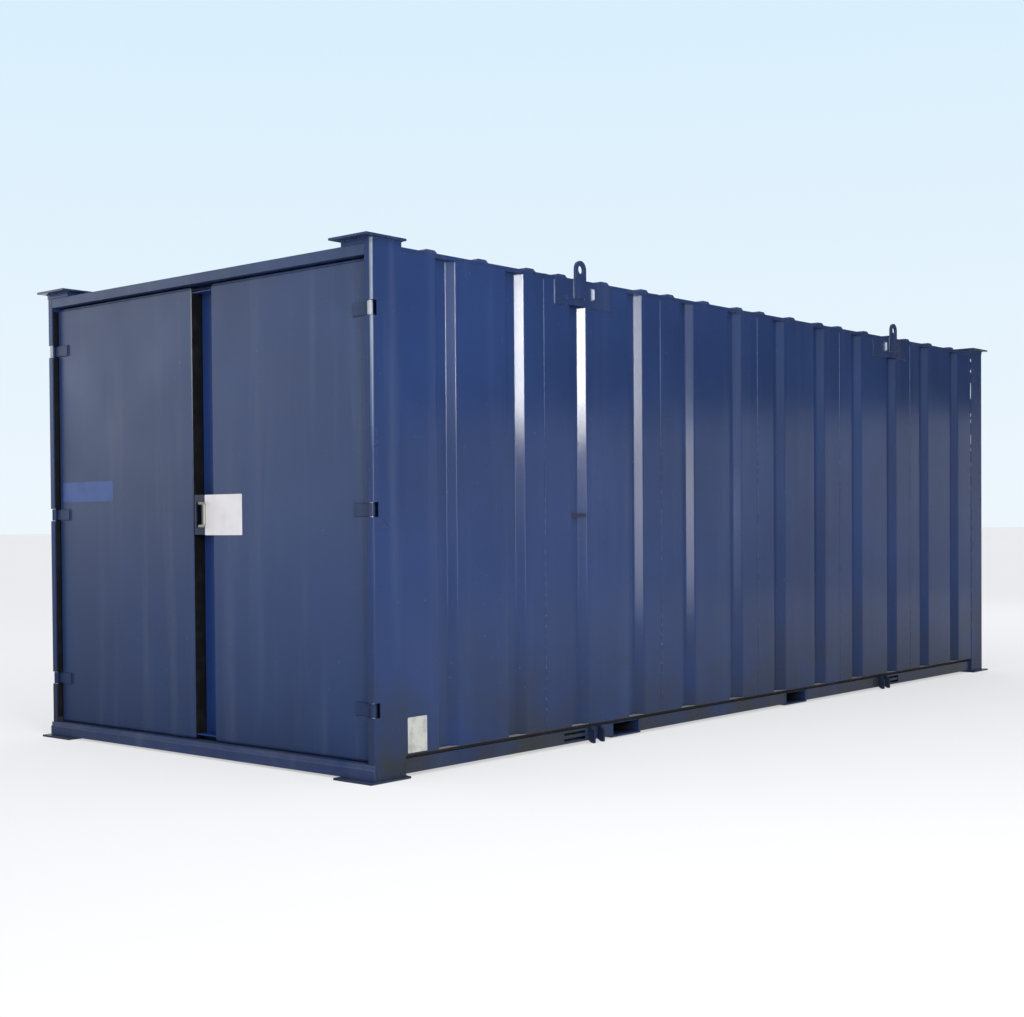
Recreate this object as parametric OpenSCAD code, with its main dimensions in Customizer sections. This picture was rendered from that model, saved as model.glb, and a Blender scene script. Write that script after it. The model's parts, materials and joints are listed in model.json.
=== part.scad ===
// Steel site-storage container with two plain hinged doors on one short end.
// Frame: +Z up, the door end faces -Y, +X is to the right of someone facing the doors.
// The origin is on the ground at the middle of the base. All lengths are in millimetres.

/* [Overall size] */
// Width over the pad plates
overall_w = 2740; // [2400:5:3300]
// Length over the pad plates
overall_l = 7300; // [6600:10:9600]
// Height of the stacking faces above the ground
stack_h = 2640; // [2300:5:3000]

/* [Pad plates and stacking blocks] */
// Pad plate size across the container
pad_w = 262; // [230:1:320]
// Pad plate size along the container
pad_l = 281; // [270:1:340]
// Pad plate thickness
pad_t = 12; // [8:1:20]
// How far a pad plate stands out past the end frame
pad_front = 55; // [20:1:80]
// How far a pad plate stands out past the side
pad_side = 25; // [24:1:50]
// Height of the block that lifts a stacking plate over the roof
block_h = 28; // [24:1:60]
// Width of the stacking block across the container
block_w = 205; // [120:1:230]

/* [Corner posts] */
// Depth of the post's side face along the container
post_depth = 215; // [170:1:260]
// Width of the post's end face across the container
post_face = 45; // [42:1:70]
// Plate thickness of the folded post
post_t = 5; // [4:0.5:8]
// Outer fold radius of the post
post_fold = 14; // [10:1:18]
// Width of the flange that carries the side wall
post_return = 40; // [25:1:60]
// Depth of the rear post's lip that carries the end wall
rear_lip = 60; // [40:1:120]

/* [Bottom rails and floor] */
// Height of the rail's underside above the ground
rail_base = 18; // [14:1:60]
// Height of the bottom rail
rail_h = 74; // [60:1:140]
// Depth of the bottom rail across its length
rail_d = 50; // [40:1:80]
// Plate thickness of the rails
rail_t = 4; // [3:0.5:6]
// How far the rail's face stands back from the post's side face
rail_setback = 18; // [8:1:30]
// Height of the shadow gap between rail and wall ledge
ledge_gap = 19; // [8:1:40]
// Thickness of the ledge that the wall stands on
ledge_t = 4; // [3:0.5:8]
// How far the shadow gap's back stands behind the post's side face
spacer_setback = 35; // [25:1:50]
// Thickness of the floor boards
floor_t = 18; // [12:1:22]
// Gap between neighbouring floor boards
board_gap = 2; // [1:0.5:6]
// Width of a floor bearer
bearer_w = 50; // [40:1:80]
// Plate thickness of a floor bearer
bearer_t = 3; // [2:0.5:5]
// Distance between floor bearers, about
bearer_pitch = 600; // [400:10:900]

/* [Fork pockets] */
// Distance from the front lifting eye to the first fork pocket's middle
pocket_first = 462.5; // [400:0.5:600]
// Distance between the fork pockets' middles
pocket_pitch = 2000; // [1000:10:2400]
// Width of a fork pocket's opening
pocket_w = 255; // [180:1:320]
// Thickness of a fork pocket's side plates
pocket_side_t = 20; // [8:1:30]
// Thickness of a fork pocket's floor strap
pocket_floor_t = 10; // [5:1:13]
// Thickness of a fork pocket's top plate
pocket_top_t = 5; // [3:1:10]

/* [Walls and roof] */
// Sheet thickness of the walls and the roof
sheet_t = 2; // [1.5:0.5:4]
// How far the wall sheet stands back from the post's side face
wall_setback = 3; // [0:1:10]
// Depth of a wall groove
groove_d = 43; // [20:1:44]
// Width of a wall groove at the wall's face
groove_w = 156; // [120:1:200]
// Distance between wall grooves
groove_pitch = 555; // [420:1:570]
// Least width of the flat strip at each end of a wall
groove_margin = 120; // [60:1:200]
// Distance from the door end to the first roof rib's middle
rib_start = 485; // [400:5:520]
// Distance between the ribs of one roof sheet
rib_pitch = 397; // [300:1:420]
// Cover width of one roof sheet
roof_sheet = 1074; // [900:1:1080]
// Height of a roof rib
rib_h = 14; // [8:1:18]
// Width of a roof rib at its foot
rib_w = 100; // [70:1:130]
// Width of a roof rib at its top
rib_top = 60; // [40:1:66]
// Visible height of the top rail's edge strip
edge_h = 20; // [14:1:40]
// Size of the top rail's tube
tube_s = 60; // [50:1:90]

/* [Door end] */
// Height of the header's face
header_h = 54; // [40:1:90]
// Plate thickness of the header, the sill and the door stops
frame_t = 5; // [4:0.5:8]
// Depth of the header's top plate
header_d = 150; // [125:1:200]
// Height of the sill's underside above the ground
sill_base = 13; // [12:1:30]
// Height of the sill's face
sill_h = 74; // [60:1:90]
// How far the door skins stand behind the end frame's face
door_recess = 36; // [34:0.5:44]
// Depth of a door leaf
leaf_d = 75; // [60:1:90]
// Sheet thickness of a door leaf
leaf_t = 3; // [2:0.5:4]
// Width of the flange folded in at the back of a door leaf
leaf_flange = 40; // [25:1:60]
// Gap between a door leaf and the post
jamb_gap = 10; // [8:1:15]
// Gap above the door leaves
top_gap = 18; // [8:1:25]
// Gap under the door leaves
foot_gap = 10; // [6:1:20]
// Gap between the back of a door leaf and its stop
stop_gap = 6; // [6:1:12]
// Width of the door stops
stop_w = 40; // [25:1:60]
// How far the header's stop hangs behind the door leaves
stop_lap = 38; // [20:1:60]
// Gap between the two doors
meeting_gap = 10; // [9:1:16]
// Distance of the meeting gap's left edge from the middle, to the left
meeting_x = 50; // [20:1:80]
// Width of the stiffeners on the back of a door skin
stiffener_w = 80; // [50:1:120]
// Depth of the stiffeners on the back of a door skin
stiffener_d = 40; // [25:1:50]

/* [Lock channel] */
// Width of the lock channel in the right door
channel_w = 157; // [130:1:200]
// Plate thickness of the lock channel
channel_t = 6; // [4:1:8]
// Distance of the channel's caps from the door's ends
cap_inset = 18; // [8:1:40]
// Height of the lock box's middle above the ground
lock_z = 1308; // [1100:1:1500]
// Height of the lock box
lock_h = 216; // [180:1:260]
// Plate thickness of the lock box
lock_t = 4; // [3:0.5:6]
// Width of the key pocket
key_w = 40; // [30:1:50]
// Height of the key pocket
key_h = 136; // [80:1:150]
// Distance of the key pocket from the lock box's left side
key_inset = 16; // [8:1:24]
// Length of the grab handle
grip_h = 138; // [100:1:160]
// Diameter of the grab handle's bar
grip_dia = 16; // [12:1:20]
// Distance of the grab handle's middle from the lock box's face
grip_reach = 36; // [32:1:60]
// Distance of the grab handle's bar from the lock box's left side
grip_inset = 125; // [110:1:136]
// Distance of the grab handle's feet from the lock box's left side
grip_foot_inset = 76; // [70:1:90]
// Bend radius of the grab handle, to the middle of its bar
grip_bend = 14; // [11:1:18]

/* [Hinges] */
// Height of the middle hinge above the middle of the door leaf
hinge_mid = 7.5; // [-40:0.5:40]
// Distance between hinges
hinge_pitch = 970; // [700:5:980]
// Height of the notch that a hinge sits in
notch_h = 72; // [60:1:110]
// Depth of the notch behind the end frame's face
notch_d = 38; // [38:1:60]
// Distance of the hinge pin from the post's side face
pin_side = 24; // [23:0.5:26]
// Distance of the hinge pin behind the end frame's face
pin_back = 16; // [15.5:0.5:18]
// Diameter of the hinge pin
pin_dia = 20; // [14:1:20]
// Diameter of the hinge knuckle
knuckle_dia = 28; // [26:1:29]
// Radial clearance of the pin in its bores
pin_clearance = 0.05; // [0.02:0.01:0.1]
// Gap above and below a knuckle in its notch
knuckle_gap = 3; // [1:0.5:6]
// Length of a hinge strap from the pin
strap_l = 132; // [90:1:180]
// Height of a hinge strap
strap_h = 60; // [40:1:60]
// Thickness of a hinge strap
strap_t = 10; // [6:1:12]
// Thickness of the lugs that hold the pin
lug_t = 10; // [6:1:16]
// How far the pin stands past its lugs
pin_past = 6; // [3:1:12]

/* [Lifting eyes and rail fittings] */
// Groove on which a lifting eye sits, as a count from the nearer end
eye_groove_count = 3; // [2:1:4]
// Width of a lifting eye plate
eye_w = 100; // [70:1:120]
// Thickness of a lifting eye plate
eye_t = 15; // [10:1:18]
// Diameter of a lifting eye's hole
eye_hole = 47; // [30:1:55]
// Height of a lifting eye's hole above the post's top
eye_rise = 55; // [52:1:75]
// Length of a lifting eye plate under the post's top
eye_drop = 100; // [60:1:120]
// Length of the spreader plate from the eye towards the near end
spread_out = 217; // [120:1:260]
// Length of the spreader plate from the eye towards the middle
spread_in = 312; // [170:1:360]
// Height of the spreader plate
spread_h = 145; // [125:1:200]
// Thickness of the spreader plate
spread_t = 8; // [5:1:10]
// Distance of the spreader's rib from the eye
rib_offset = 120; // [90:1:160]
// Height of the spreader's rib
spread_rib_h = 57; // [30:1:80]
// Thickness of the spreader's rib
spread_rib_t = 14; // [8:1:20]
// Width of the recess window in the bottom rail
recess_w = 197; // [120:1:240]
// Height of the recess window
recess_h = 46; // [30:1:48]
// Distance of the recess window's middle from the lifting eye
recess_offset = 34; // [0:1:60]
// Height of the recess bar
recess_bar_h = 20; // [10:1:26]
// Thickness of the recess bar
recess_bar_t = 10; // [6:1:16]
// Thickness of a cheek plate
cheek_t = 15; // [8:1:20]
// Distance of the first cheek plate's middle from the lifting eye
cheek_offset = 97.5; // [88:0.5:130]
// Distance between a pair of cheek plates
cheek_pitch = 88; // [50:1:110]
// Height of a cheek plate's foot above the ground
cheek_base = 4; // [2:1:12]
// Height of the bar across a wall groove
holdback_z = 1290; // [1000:5:1500]
// Height of that bar's face
holdback_h = 20; // [12:1:40]
// Thickness of that bar
holdback_t = 8; // [5:1:14]

/* [Hidden] */
$fn = 48;

// A cut runs this far past the faces that it opens
past = 1;

// Colours
navy = [0.13, 0.18, 0.36];
door_blue = [0.20, 0.25, 0.40];
dark_steel = [0.07, 0.08, 0.13];
bare_steel = [0.60, 0.58, 0.54];
board_brown = [0.45, 0.33, 0.20];

// Planes of the body
side_x = overall_w / 2 - pad_side;
end_y = overall_l / 2 - pad_front;
post_top = stack_h - pad_t - block_h;
post_inner_y = end_y - post_depth;
jamb_x = side_x - post_face;
rail_top = rail_base + rail_h;
wall_base = rail_top + ledge_gap + ledge_t;
wall_top = post_top - edge_h;
rail_back = rail_setback + rail_d;
deck_x = side_x - rail_back;

// Door end
sill_top = sill_base + sill_h;
header_base = post_top - header_h;
leaf_z0 = sill_top + foot_gap;
leaf_z1 = header_base - top_gap;
stop_v = door_recess + leaf_d + stop_gap;
stop_base = leaf_z1 - stop_lap;
leaf_outer_x = jamb_x - jamb_gap;
left_leaf_x = -meeting_x;
channel_x = left_leaf_x + meeting_gap;
right_leaf_x = channel_x + channel_w;
skin_y = -end_y + door_recess;
channel_floor_y = skin_y + leaf_d - channel_t;
hinge_heights = [for (i = [-1:1]) (leaf_z0 + leaf_z1) / 2 + hinge_mid + i * hinge_pitch];
knuckle_h = notch_h - 2 * knuckle_gap;
pin_bore = pin_dia / 2 + pin_clearance;
strap_back = door_recess - pin_back;

// Grooves that fit in a wall of this length
function groove_count(length) = floor((length - groove_w - 2 * groove_margin) / groove_pitch) + 1;
side_grooves = groove_count(2 * post_inner_y);
end_grooves = groove_count(2 * jamb_x);

// Lifting eyes
eye_y = ((side_grooves + 1) / 2 - eye_groove_count) * groove_pitch;
eye_z = post_top + eye_rise;
spread_x = side_x - wall_setback + spread_t;

// Fork pockets
pocket_half = pocket_w / 2 + pocket_side_t;
pocket_y = [for (i = [0:1]) -eye_y + pocket_first + i * pocket_pitch];
pocket_x = side_x - rail_setback;
pocket_h = rail_h - pocket_top_t;

// The bottom rail's lengths, between the posts and the fork pockets
rail_spans = [
    [-post_inner_y, pocket_y[0] - pocket_half],
    [pocket_y[0] + pocket_half, pocket_y[1] - pocket_half],
    [pocket_y[1] + pocket_half, post_inner_y]];

// Distance of the roof sheet's ends from the end frames' faces
roof_end = 20;
roof_ribs = 3;
roof_run = overall_l - pad_front - roof_end - rib_start - (roof_ribs - 1) * rib_pitch - rib_w / 2;
roof_sheets = floor(roof_run / roof_sheet) + 1;
rib_places = [for (k = [0:roof_sheets - 1], j = [0:roof_ribs - 1])
    rib_start + k * roof_sheet + j * rib_pitch];
rib_outline = [[-rib_w / 2, 0], [-rib_top / 2, rib_h], [rib_top / 2, rib_h], [rib_w / 2, 0]];
// Gap between the roof sheet and the stacking blocks
roof_notch_gap = 2;

// Window through the bottom rail's face, and the bar's lap at each end of it
recess_y = eye_y + recess_offset;
recess_z = rail_base + rail_h / 2;
recess_lap = 10;

// How far the bar across a wall groove stands behind the wall's face
holdback_inset = 4;

// Place of the right door's hinge axis
pin_x = side_x - pin_side;
pin_y = -end_y + pin_back;

// A groove's flanks are bent by 45 degrees, and the sheet's inner face is mitred by half of that
half_bend = 45 / 2;

// Places of the grooves along a wall, counted from its middle
function groove_places(count) = [for (i = [0:count - 1]) (i - (count - 1) / 2) * groove_pitch];

// One face of a grooved sheet, as [place, depth] points. The inset is the sheet's thickness.
function groove_face(count, half, inset) =
    let (mitre = inset * tan(half_bend))
    concat([[-half, inset]],
        [for (c = groove_places(count), p = [
            [-groove_w / 2 - mitre, 0],
            [-groove_w / 2 + groove_d - mitre, groove_d],
            [groove_w / 2 - groove_d + mitre, groove_d],
            [groove_w / 2 + mitre, 0]]) [c + p[0], p[1] + inset]],
        [[half, inset]]);

function reversed(list) = [for (i = [len(list) - 1:-1:0]) list[i]];

// Height profile of the roof as [place, height] points, places counted from the door end
function roof_face(lift) = concat(
    [[pad_front + roof_end, lift]],
    [for (place = rib_places, p = rib_outline) [place + p[0], p[1] + lift]],
    [[overall_l - pad_front - roof_end, lift]]);

// Puts its children on both sides, the right-hand one as drawn
module both_sides() {
    children();
    mirror([1, 0, 0]) children();
}

// Puts its children at both ends
module both_ends() {
    children();
    mirror([0, 1, 0]) children();
}

// A box from one corner to the other
module span(low, high) {
    translate(low) cube(high - low);
}

// Runs a cross-section along Y. The section's x is the distance in from the right side
// face, and its y is the height.
module along_side(y0, y1) {
    translate([side_x, y1, 0])
        rotate([90, 0, 0])
            linear_extrude(y1 - y0)
                mirror([1, 0, 0]) children();
}

// Runs a cross-section along X, at the rear. The section's x is the distance in from the
// rear face, and its y is the height.
module along_rear(half) {
    translate([-half, end_y, 0])
        rotate([90, 0, 90])
            linear_extrude(2 * half)
                mirror([1, 0, 0]) children();
}

// Folded corner post, seen from above: x is in from the side face, y is in from the end face
module post_section(lip) {
    intersection() {
        square(post_fold);
        translate([post_fold, post_fold]) difference() {
            circle(post_fold);
            circle(post_fold - post_t);
        }
    }
    translate([0, post_fold]) square([post_t, post_depth - post_fold]);
    translate([post_fold, 0]) square([post_face - post_fold, post_t]);
    translate([post_face - post_t, 0]) square([post_t, lip]);
    translate([0, post_depth - post_t]) square([post_return, post_t]);
}

// Right-hand post at the door end, before its hinge notches are cut
module post(lip) {
    translate([side_x, -end_y, pad_t])
        mirror([1, 0, 0])
            linear_extrude(post_top - pad_t) post_section(lip);
}

module hinged_post() {
    difference() {
        post(stop_v + frame_t);
        for (z = hinge_heights)
            span([jamb_x - past, -end_y - past, z - notch_h / 2],
                [side_x + past, -end_y + notch_d, z + notch_h / 2]);
    }
}

module front_right_post() { color(navy) hinged_post(); }
module front_left_post() { color(navy) mirror([1, 0, 0]) hinged_post(); }
module rear_right_post() { color(navy) mirror([0, 1, 0]) post(rear_lip); }
module rear_left_post() { color(navy) mirror([1, 0, 0]) mirror([0, 1, 0]) post(rear_lip); }

// One pad plate at the front right corner
module pad(z) {
    translate([overall_w / 2 - pad_w, -overall_l / 2, z]) cube([pad_w, pad_l, pad_t]);
}

module foot_plates() { color(navy) both_ends() both_sides() pad(0); }
module stacking_plates() { color(navy) both_ends() both_sides() pad(stack_h - pad_t); }

module stacking_blocks() {
    color(navy) both_ends() both_sides()
        translate([side_x - block_w, -end_y, post_top]) cube([block_w, post_depth, block_h]);
}

// Header over the doors: face, top plate, soffit and the stop behind the doors
module door_header() {
    color(navy) {
        span([-jamb_x, -end_y, header_base], [jamb_x, -end_y + frame_t, post_top]);
        span([-jamb_x, -end_y, post_top - frame_t], [jamb_x, -end_y + header_d, post_top]);
        span([-jamb_x, -end_y, header_base], [jamb_x, -end_y + stop_v + frame_t, header_base + frame_t]);
        span([-jamb_x, -end_y + stop_v, stop_base], [jamb_x, -end_y + stop_v + frame_t, header_base]);
    }
}

// Sill under the doors: a face in front of the posts, a ledge and the stop behind the doors
module door_sill() {
    color(navy) {
        span([-side_x, -end_y - frame_t, sill_base], [side_x, -end_y, sill_top]);
        span([-jamb_x, -end_y - frame_t, sill_top - frame_t],
            [jamb_x, -end_y + stop_v + frame_t, sill_top]);
        span([-jamb_x, -end_y + stop_v, sill_base], [jamb_x, -end_y + stop_v + frame_t, wall_base]);
    }
}

module door_stops() {
    color(navy) both_sides()
        span([jamb_x - stop_w, -end_y + stop_v, wall_base],
            [jamb_x, -end_y + stop_v + frame_t, stop_base]);
}

// Top rail: a closed edge strip over the wall sheet and a square tube behind the grooves
module top_rail_section() {
    tube_in = wall_setback + groove_d + sheet_t + rail_t;
    difference() {
        union() {
            translate([wall_setback, wall_top]) square([tube_in - wall_setback, edge_h]);
            translate([tube_in, post_top - tube_s]) square(tube_s);
        }
        translate([wall_setback + rail_t, wall_top + rail_t])
            square([tube_in - wall_setback - rail_t, edge_h - 2 * rail_t]);
        translate([tube_in + rail_t, post_top - tube_s + rail_t]) square(tube_s - 2 * rail_t);
    }
}

module side_top_rail() { along_side(-post_inner_y, post_inner_y) top_rail_section(); }
module right_top_rail() { color(navy) side_top_rail(); }
module left_top_rail() { color(navy) mirror([1, 0, 0]) side_top_rail(); }
module rear_top_rail() { color(navy) along_rear(jamb_x) top_rail_section(); }

// Bottom rail tube
module bottom_rail_section() {
    translate([rail_setback, rail_base]) difference() {
        square([rail_d, rail_h]);
        translate([rail_t, rail_t]) square([rail_d - 2 * rail_t, rail_h - 2 * rail_t]);
    }
}

// Ledge that the wall stands on, with the set-back web of the shadow gap under it
module ledge_section() {
    translate([wall_setback, wall_base - ledge_t]) square([rail_back - wall_setback, ledge_t]);
    translate([spacer_setback, rail_top]) square([rail_back - spacer_setback, ledge_gap]);
}

module side_bottom_rail() {
    difference() {
        for (s = rail_spans) along_side(s[0], s[1]) bottom_rail_section();
        for (y = [-recess_y, recess_y])
            span([side_x - rail_setback - rail_t - past, y - recess_w / 2, recess_z - recess_h / 2],
                [side_x - rail_setback + past, y + recess_w / 2, recess_z + recess_h / 2]);
    }
}

module right_bottom_rail() { color(navy) side_bottom_rail(); }
module left_bottom_rail() { color(navy) mirror([1, 0, 0]) side_bottom_rail(); }

module side_ledge() { along_side(-post_inner_y, post_inner_y) ledge_section(); }
module right_wall_ledge() { color(navy) side_ledge(); }
module left_wall_ledge() { color(navy) mirror([1, 0, 0]) side_ledge(); }

module rear_bottom_rail() {
    color(navy) along_rear(jamb_x) {
        bottom_rail_section();
        ledge_section();
    }
}

// Grooved wall sheet, drawn from above with its depth along +X from the outer face
module wall_sheet(count, half) {
    translate([0, 0, wall_base]) linear_extrude(wall_top - wall_base)
        polygon([for (p = concat(groove_face(count, half, 0), reversed(groove_face(count, half, sheet_t))))
            [p[1], p[0]]]);
}

module side_wall() {
    translate([side_x - wall_setback, 0, 0]) mirror([1, 0, 0]) wall_sheet(side_grooves, post_inner_y);
}

module right_wall() { color(navy) side_wall(); }
module left_wall() { color(navy) mirror([1, 0, 0]) side_wall(); }
module rear_wall() {
    color(navy) translate([0, end_y - wall_setback, 0]) rotate(-90) wall_sheet(end_grooves, jamb_x);
}

// Plates that close the hollow of each rib at the roof's long edges
module rib_ends(half) {
    for (x = [-half, half - sheet_t], place = rib_places)
        translate([x, place - overall_l / 2, post_top])
            rotate([90, 0, 90]) linear_extrude(sheet_t) polygon(rib_outline);
}

// Ribbed roof sheet, cut back at the four stacking blocks
module roof_sheet() {
    half = side_x - wall_setback;
    color(navy) difference() {
        union() {
            translate([-half, -overall_l / 2, post_top])
                rotate([90, 0, 90]) linear_extrude(2 * half)
                    polygon(concat(roof_face(0), reversed(roof_face(sheet_t))));
            rib_ends(half);
        }
        both_ends() both_sides()
            span([side_x - block_w - roof_notch_gap, -end_y - past, post_top - past],
                [side_x + past, -post_inner_y + roof_notch_gap, post_top + block_h]);
    }
}

// Places of the bearers, spread evenly over one length of the bottom rail
function bearer_places(y0, y1) =
    let (count = max(1, round((y1 - y0) / bearer_pitch)), pitch = (y1 - y0) / count)
    [for (i = [0:count - 1]) y0 + (i + 0.5) * pitch];

bearer_y = [for (s = rail_spans, y = bearer_places(s[0], s[1])) y];

// The boards butt over every second bearer
board_edges = concat(
    [-end_y + stop_v + frame_t - board_gap / 2],
    [for (i = [1:2:len(bearer_y) - 2]) bearer_y[i]],
    [end_y - rail_back + board_gap / 2]);

module floor_deck() {
    color(board_brown) for (i = [0:len(board_edges) - 2])
        span([-deck_x, board_edges[i] + board_gap / 2, wall_base - floor_t],
            [deck_x, board_edges[i + 1] - board_gap / 2, wall_base]);
}

// Square tubes across the floor
module floor_bearers() {
    top = wall_base - floor_t;
    color(navy)
        for (y = bearer_y)
            difference() {
                span([-deck_x, y - bearer_w / 2, rail_base + rail_t], [deck_x, y + bearer_w / 2, top]);
                span([-deck_x - past, y - bearer_w / 2 + bearer_t, rail_base + rail_t + bearer_t],
                    [deck_x + past, y + bearer_w / 2 - bearer_t, top - bearer_t]);
            }
}

// Fork pockets run right across the base
module fork_pocket_sides() {
    color(navy) for (y = pocket_y, s = [-1, 1])
        translate([-pocket_x, y + s * (pocket_w + pocket_side_t) / 2 - pocket_side_t / 2, rail_base])
            cube([2 * pocket_x, pocket_side_t, pocket_h]);
}

module fork_pocket_plates() {
    color(navy) for (y = pocket_y) {
        span([-pocket_x, y - pocket_half, rail_base - pocket_floor_t],
            [pocket_x, y + pocket_half, rail_base]);
        span([-pocket_x, y - pocket_half, rail_base + pocket_h], [pocket_x, y + pocket_half, rail_top]);
    }
}

// Spreader plate on the wall's outer face, with a short upright rib beside the eye
module spreader() {
    span([side_x - wall_setback, -eye_y - spread_out, post_top - spread_h],
        [spread_x, -eye_y + spread_in, post_top]);
    span([spread_x, -eye_y + rib_offset - spread_rib_t / 2, post_top - eye_drop],
        [spread_x + eye_t, -eye_y + rib_offset + spread_rib_t / 2, post_top - eye_drop + spread_rib_h]);
}

module lug_spreaders() { color(navy) both_ends() both_sides() spreader(); }

// Lifting eye: an upright plate with a round head and a hole
module lifting_eye() {
    translate([spread_x, -eye_y, 0]) rotate([90, 0, 90]) linear_extrude(eye_t)
        difference() {
            union() {
                translate([-eye_w / 2, post_top - eye_drop]) square([eye_w, eye_drop + eye_rise]);
                translate([0, eye_z]) circle(eye_w / 2);
            }
            translate([0, eye_z]) circle(d = eye_hole);
        }
}

module lifting_lugs() { color(navy) both_ends() both_sides() lifting_eye(); }

// Cheek plates that stand out from the bottom rail under the lifting eyes
module cheek() {
    toe = pad_side + rail_setback;
    translate([side_x - rail_setback, cheek_t / 2, 0]) rotate([90, 0, 0]) linear_extrude(cheek_t)
        polygon([[0, rail_base], [toe / 2, cheek_base], [toe, cheek_base],
            [toe, rail_top - toe / 2], [toe / 2, rail_top], [0, rail_top]]);
}

module rail_cheeks() {
    color(dark_steel) both_ends() both_sides()
        for (i = [0:1]) translate([0, -eye_y + cheek_offset + i * cheek_pitch, 0]) cheek();
}

// Flat bars behind the recess windows, against the inside of the rail's face
module recess_bars() {
    x = side_x - rail_setback - rail_t;
    color(door_blue) both_ends() both_sides()
        span([x - recess_bar_t, -recess_y - recess_w / 2 - recess_lap, recess_z - recess_bar_h / 2],
            [x, -recess_y + recess_w / 2 + recess_lap, recess_z + recess_bar_h / 2]);
}

// Bars across the groove under the front lifting eyes, their ends mitred to the groove's flanks
module holdback_bars() {
    front = -holdback_inset;
    back = front - holdback_t;
    half = groove_w / 2 - holdback_inset;
    color(dark_steel) both_sides()
        translate([side_x - wall_setback, -eye_y, holdback_z - holdback_h / 2]) linear_extrude(holdback_h)
            polygon([[front, -half], [front, half], [back, half - holdback_t], [back, -half + holdback_t]]);
}

// Lugs inside the post, above and below each notch, bored for the pin. One corner is cut
// off to clear the post's inner fold.
module hinge_lugs() {
    fold_cut = post_fold - post_t;
    low = [post_t, post_t];
    high = [post_face - post_t, notch_d];
    for (z = hinge_heights, s = [-1, 1])
        translate([side_x, -end_y, z + s * (notch_h + lug_t) / 2 - lug_t / 2])
            mirror([1, 0, 0]) linear_extrude(lug_t)
                difference() {
                    polygon([[low[0], low[1] + fold_cut], [low[0] + fold_cut, low[1]],
                        [high[0], low[1]], high, [low[0], high[1]]]);
                    translate([pin_side, pin_back]) circle(pin_bore);
                }
}

module right_hinge_lugs() { color(dark_steel) hinge_lugs(); }
module left_hinge_lugs() { color(dark_steel) mirror([1, 0, 0]) hinge_lugs(); }

module hinge_pins() {
    length = notch_h + 2 * (lug_t + pin_past);
    for (z = hinge_heights) translate([pin_x, pin_y, z - length / 2]) cylinder(d = pin_dia, h = length);
}

module right_hinge_pins() { color(bare_steel) hinge_pins(); }
module left_hinge_pins() { color(bare_steel) mirror([1, 0, 0]) hinge_pins(); }

// Hinge straps: a bored knuckle with a flat strap along the door's face
module hinge_straps() {
    for (z = hinge_heights) translate([pin_x, pin_y, z]) difference() {
        union() {
            translate([0, 0, -knuckle_h / 2]) cylinder(d = knuckle_dia, h = knuckle_h);
            translate([-strap_l, strap_back - strap_t, -strap_h / 2]) cube([strap_l, strap_t, strap_h]);
        }
        translate([0, 0, -notch_h / 2]) cylinder(r = pin_bore, h = notch_h);
    }
}

module right_hinge_straps() { color(door_blue) hinge_straps(); }
module left_hinge_straps() { color(door_blue) mirror([1, 0, 0]) hinge_straps(); }

// Door leaf as a folded tray, open at the back inside its flanges
module leaf(x0, x1) {
    back = skin_y + leaf_d;
    difference() {
        span([x0, skin_y, leaf_z0], [x1, back, leaf_z1]);
        span([x0 + leaf_t, skin_y + leaf_t, leaf_z0 + leaf_t],
            [x1 - leaf_t, back - leaf_t, leaf_z1 - leaf_t]);
        span([x0 + leaf_flange, back - 2 * leaf_t, leaf_z0 + leaf_flange],
            [x1 - leaf_flange, back + past, leaf_z1 - leaf_flange]);
    }
}

// Channel stiffeners across the back of a leaf's skin, at the hinges' heights
module stiffeners(x0, x1) {
    y0 = skin_y + leaf_t;
    for (z = hinge_heights) difference() {
        span([x0 + leaf_t, y0, z - stiffener_w / 2], [x1 - leaf_t, y0 + stiffener_d, z + stiffener_w / 2]);
        span([x0 + leaf_t - past, y0 - past, z - stiffener_w / 2 + leaf_t],
            [x1 - leaf_t + past, y0 + stiffener_d - leaf_t, z + stiffener_w / 2 - leaf_t]);
    }
}

module left_door_panel() { color(door_blue) leaf(-leaf_outer_x, left_leaf_x); }
module left_door_stiffeners() { color(navy) stiffeners(-leaf_outer_x, left_leaf_x); }
module right_door_panel() { color(door_blue) leaf(right_leaf_x, leaf_outer_x); }
module right_door_stiffeners() { color(navy) stiffeners(right_leaf_x, leaf_outer_x); }

// Back of the lock channel, flush with the back of the leaf
module lock_channel() {
    color(navy) span([channel_x, channel_floor_y, leaf_z0],
        [right_leaf_x, skin_y + leaf_d, leaf_z1]);
}

module lock_channel_caps() {
    color(navy) for (z = [leaf_z0 + cap_inset, leaf_z1 - cap_inset - channel_t])
        span([channel_x, skin_y, z], [right_leaf_x, channel_floor_y, z + channel_t]);
}

// Lock box: a hollow cover across the channel, with the key pocket cut through its face
module lock_box() {
    z0 = lock_z - lock_h / 2;
    z1 = lock_z + lock_h / 2;
    color(navy) difference() {
        span([channel_x, skin_y, z0], [right_leaf_x, channel_floor_y, z1]);
        span([channel_x + lock_t, skin_y + lock_t, z0 + lock_t],
            [right_leaf_x - lock_t, channel_floor_y + past, z1 - lock_t]);
        span([channel_x + key_inset, skin_y - past, lock_z - key_h / 2],
            [channel_x + key_inset + key_w, skin_y + lock_t + past, lock_z + key_h / 2]);
    }
}

// A round bar bent through a quarter turn, from the origin along +X and then along +Y
module bar_bend() {
    translate([0, grip_bend, 0]) rotate(-90) rotate_extrude(angle = 90)
        translate([grip_bend, 0]) circle(d = grip_dia);
}

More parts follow.
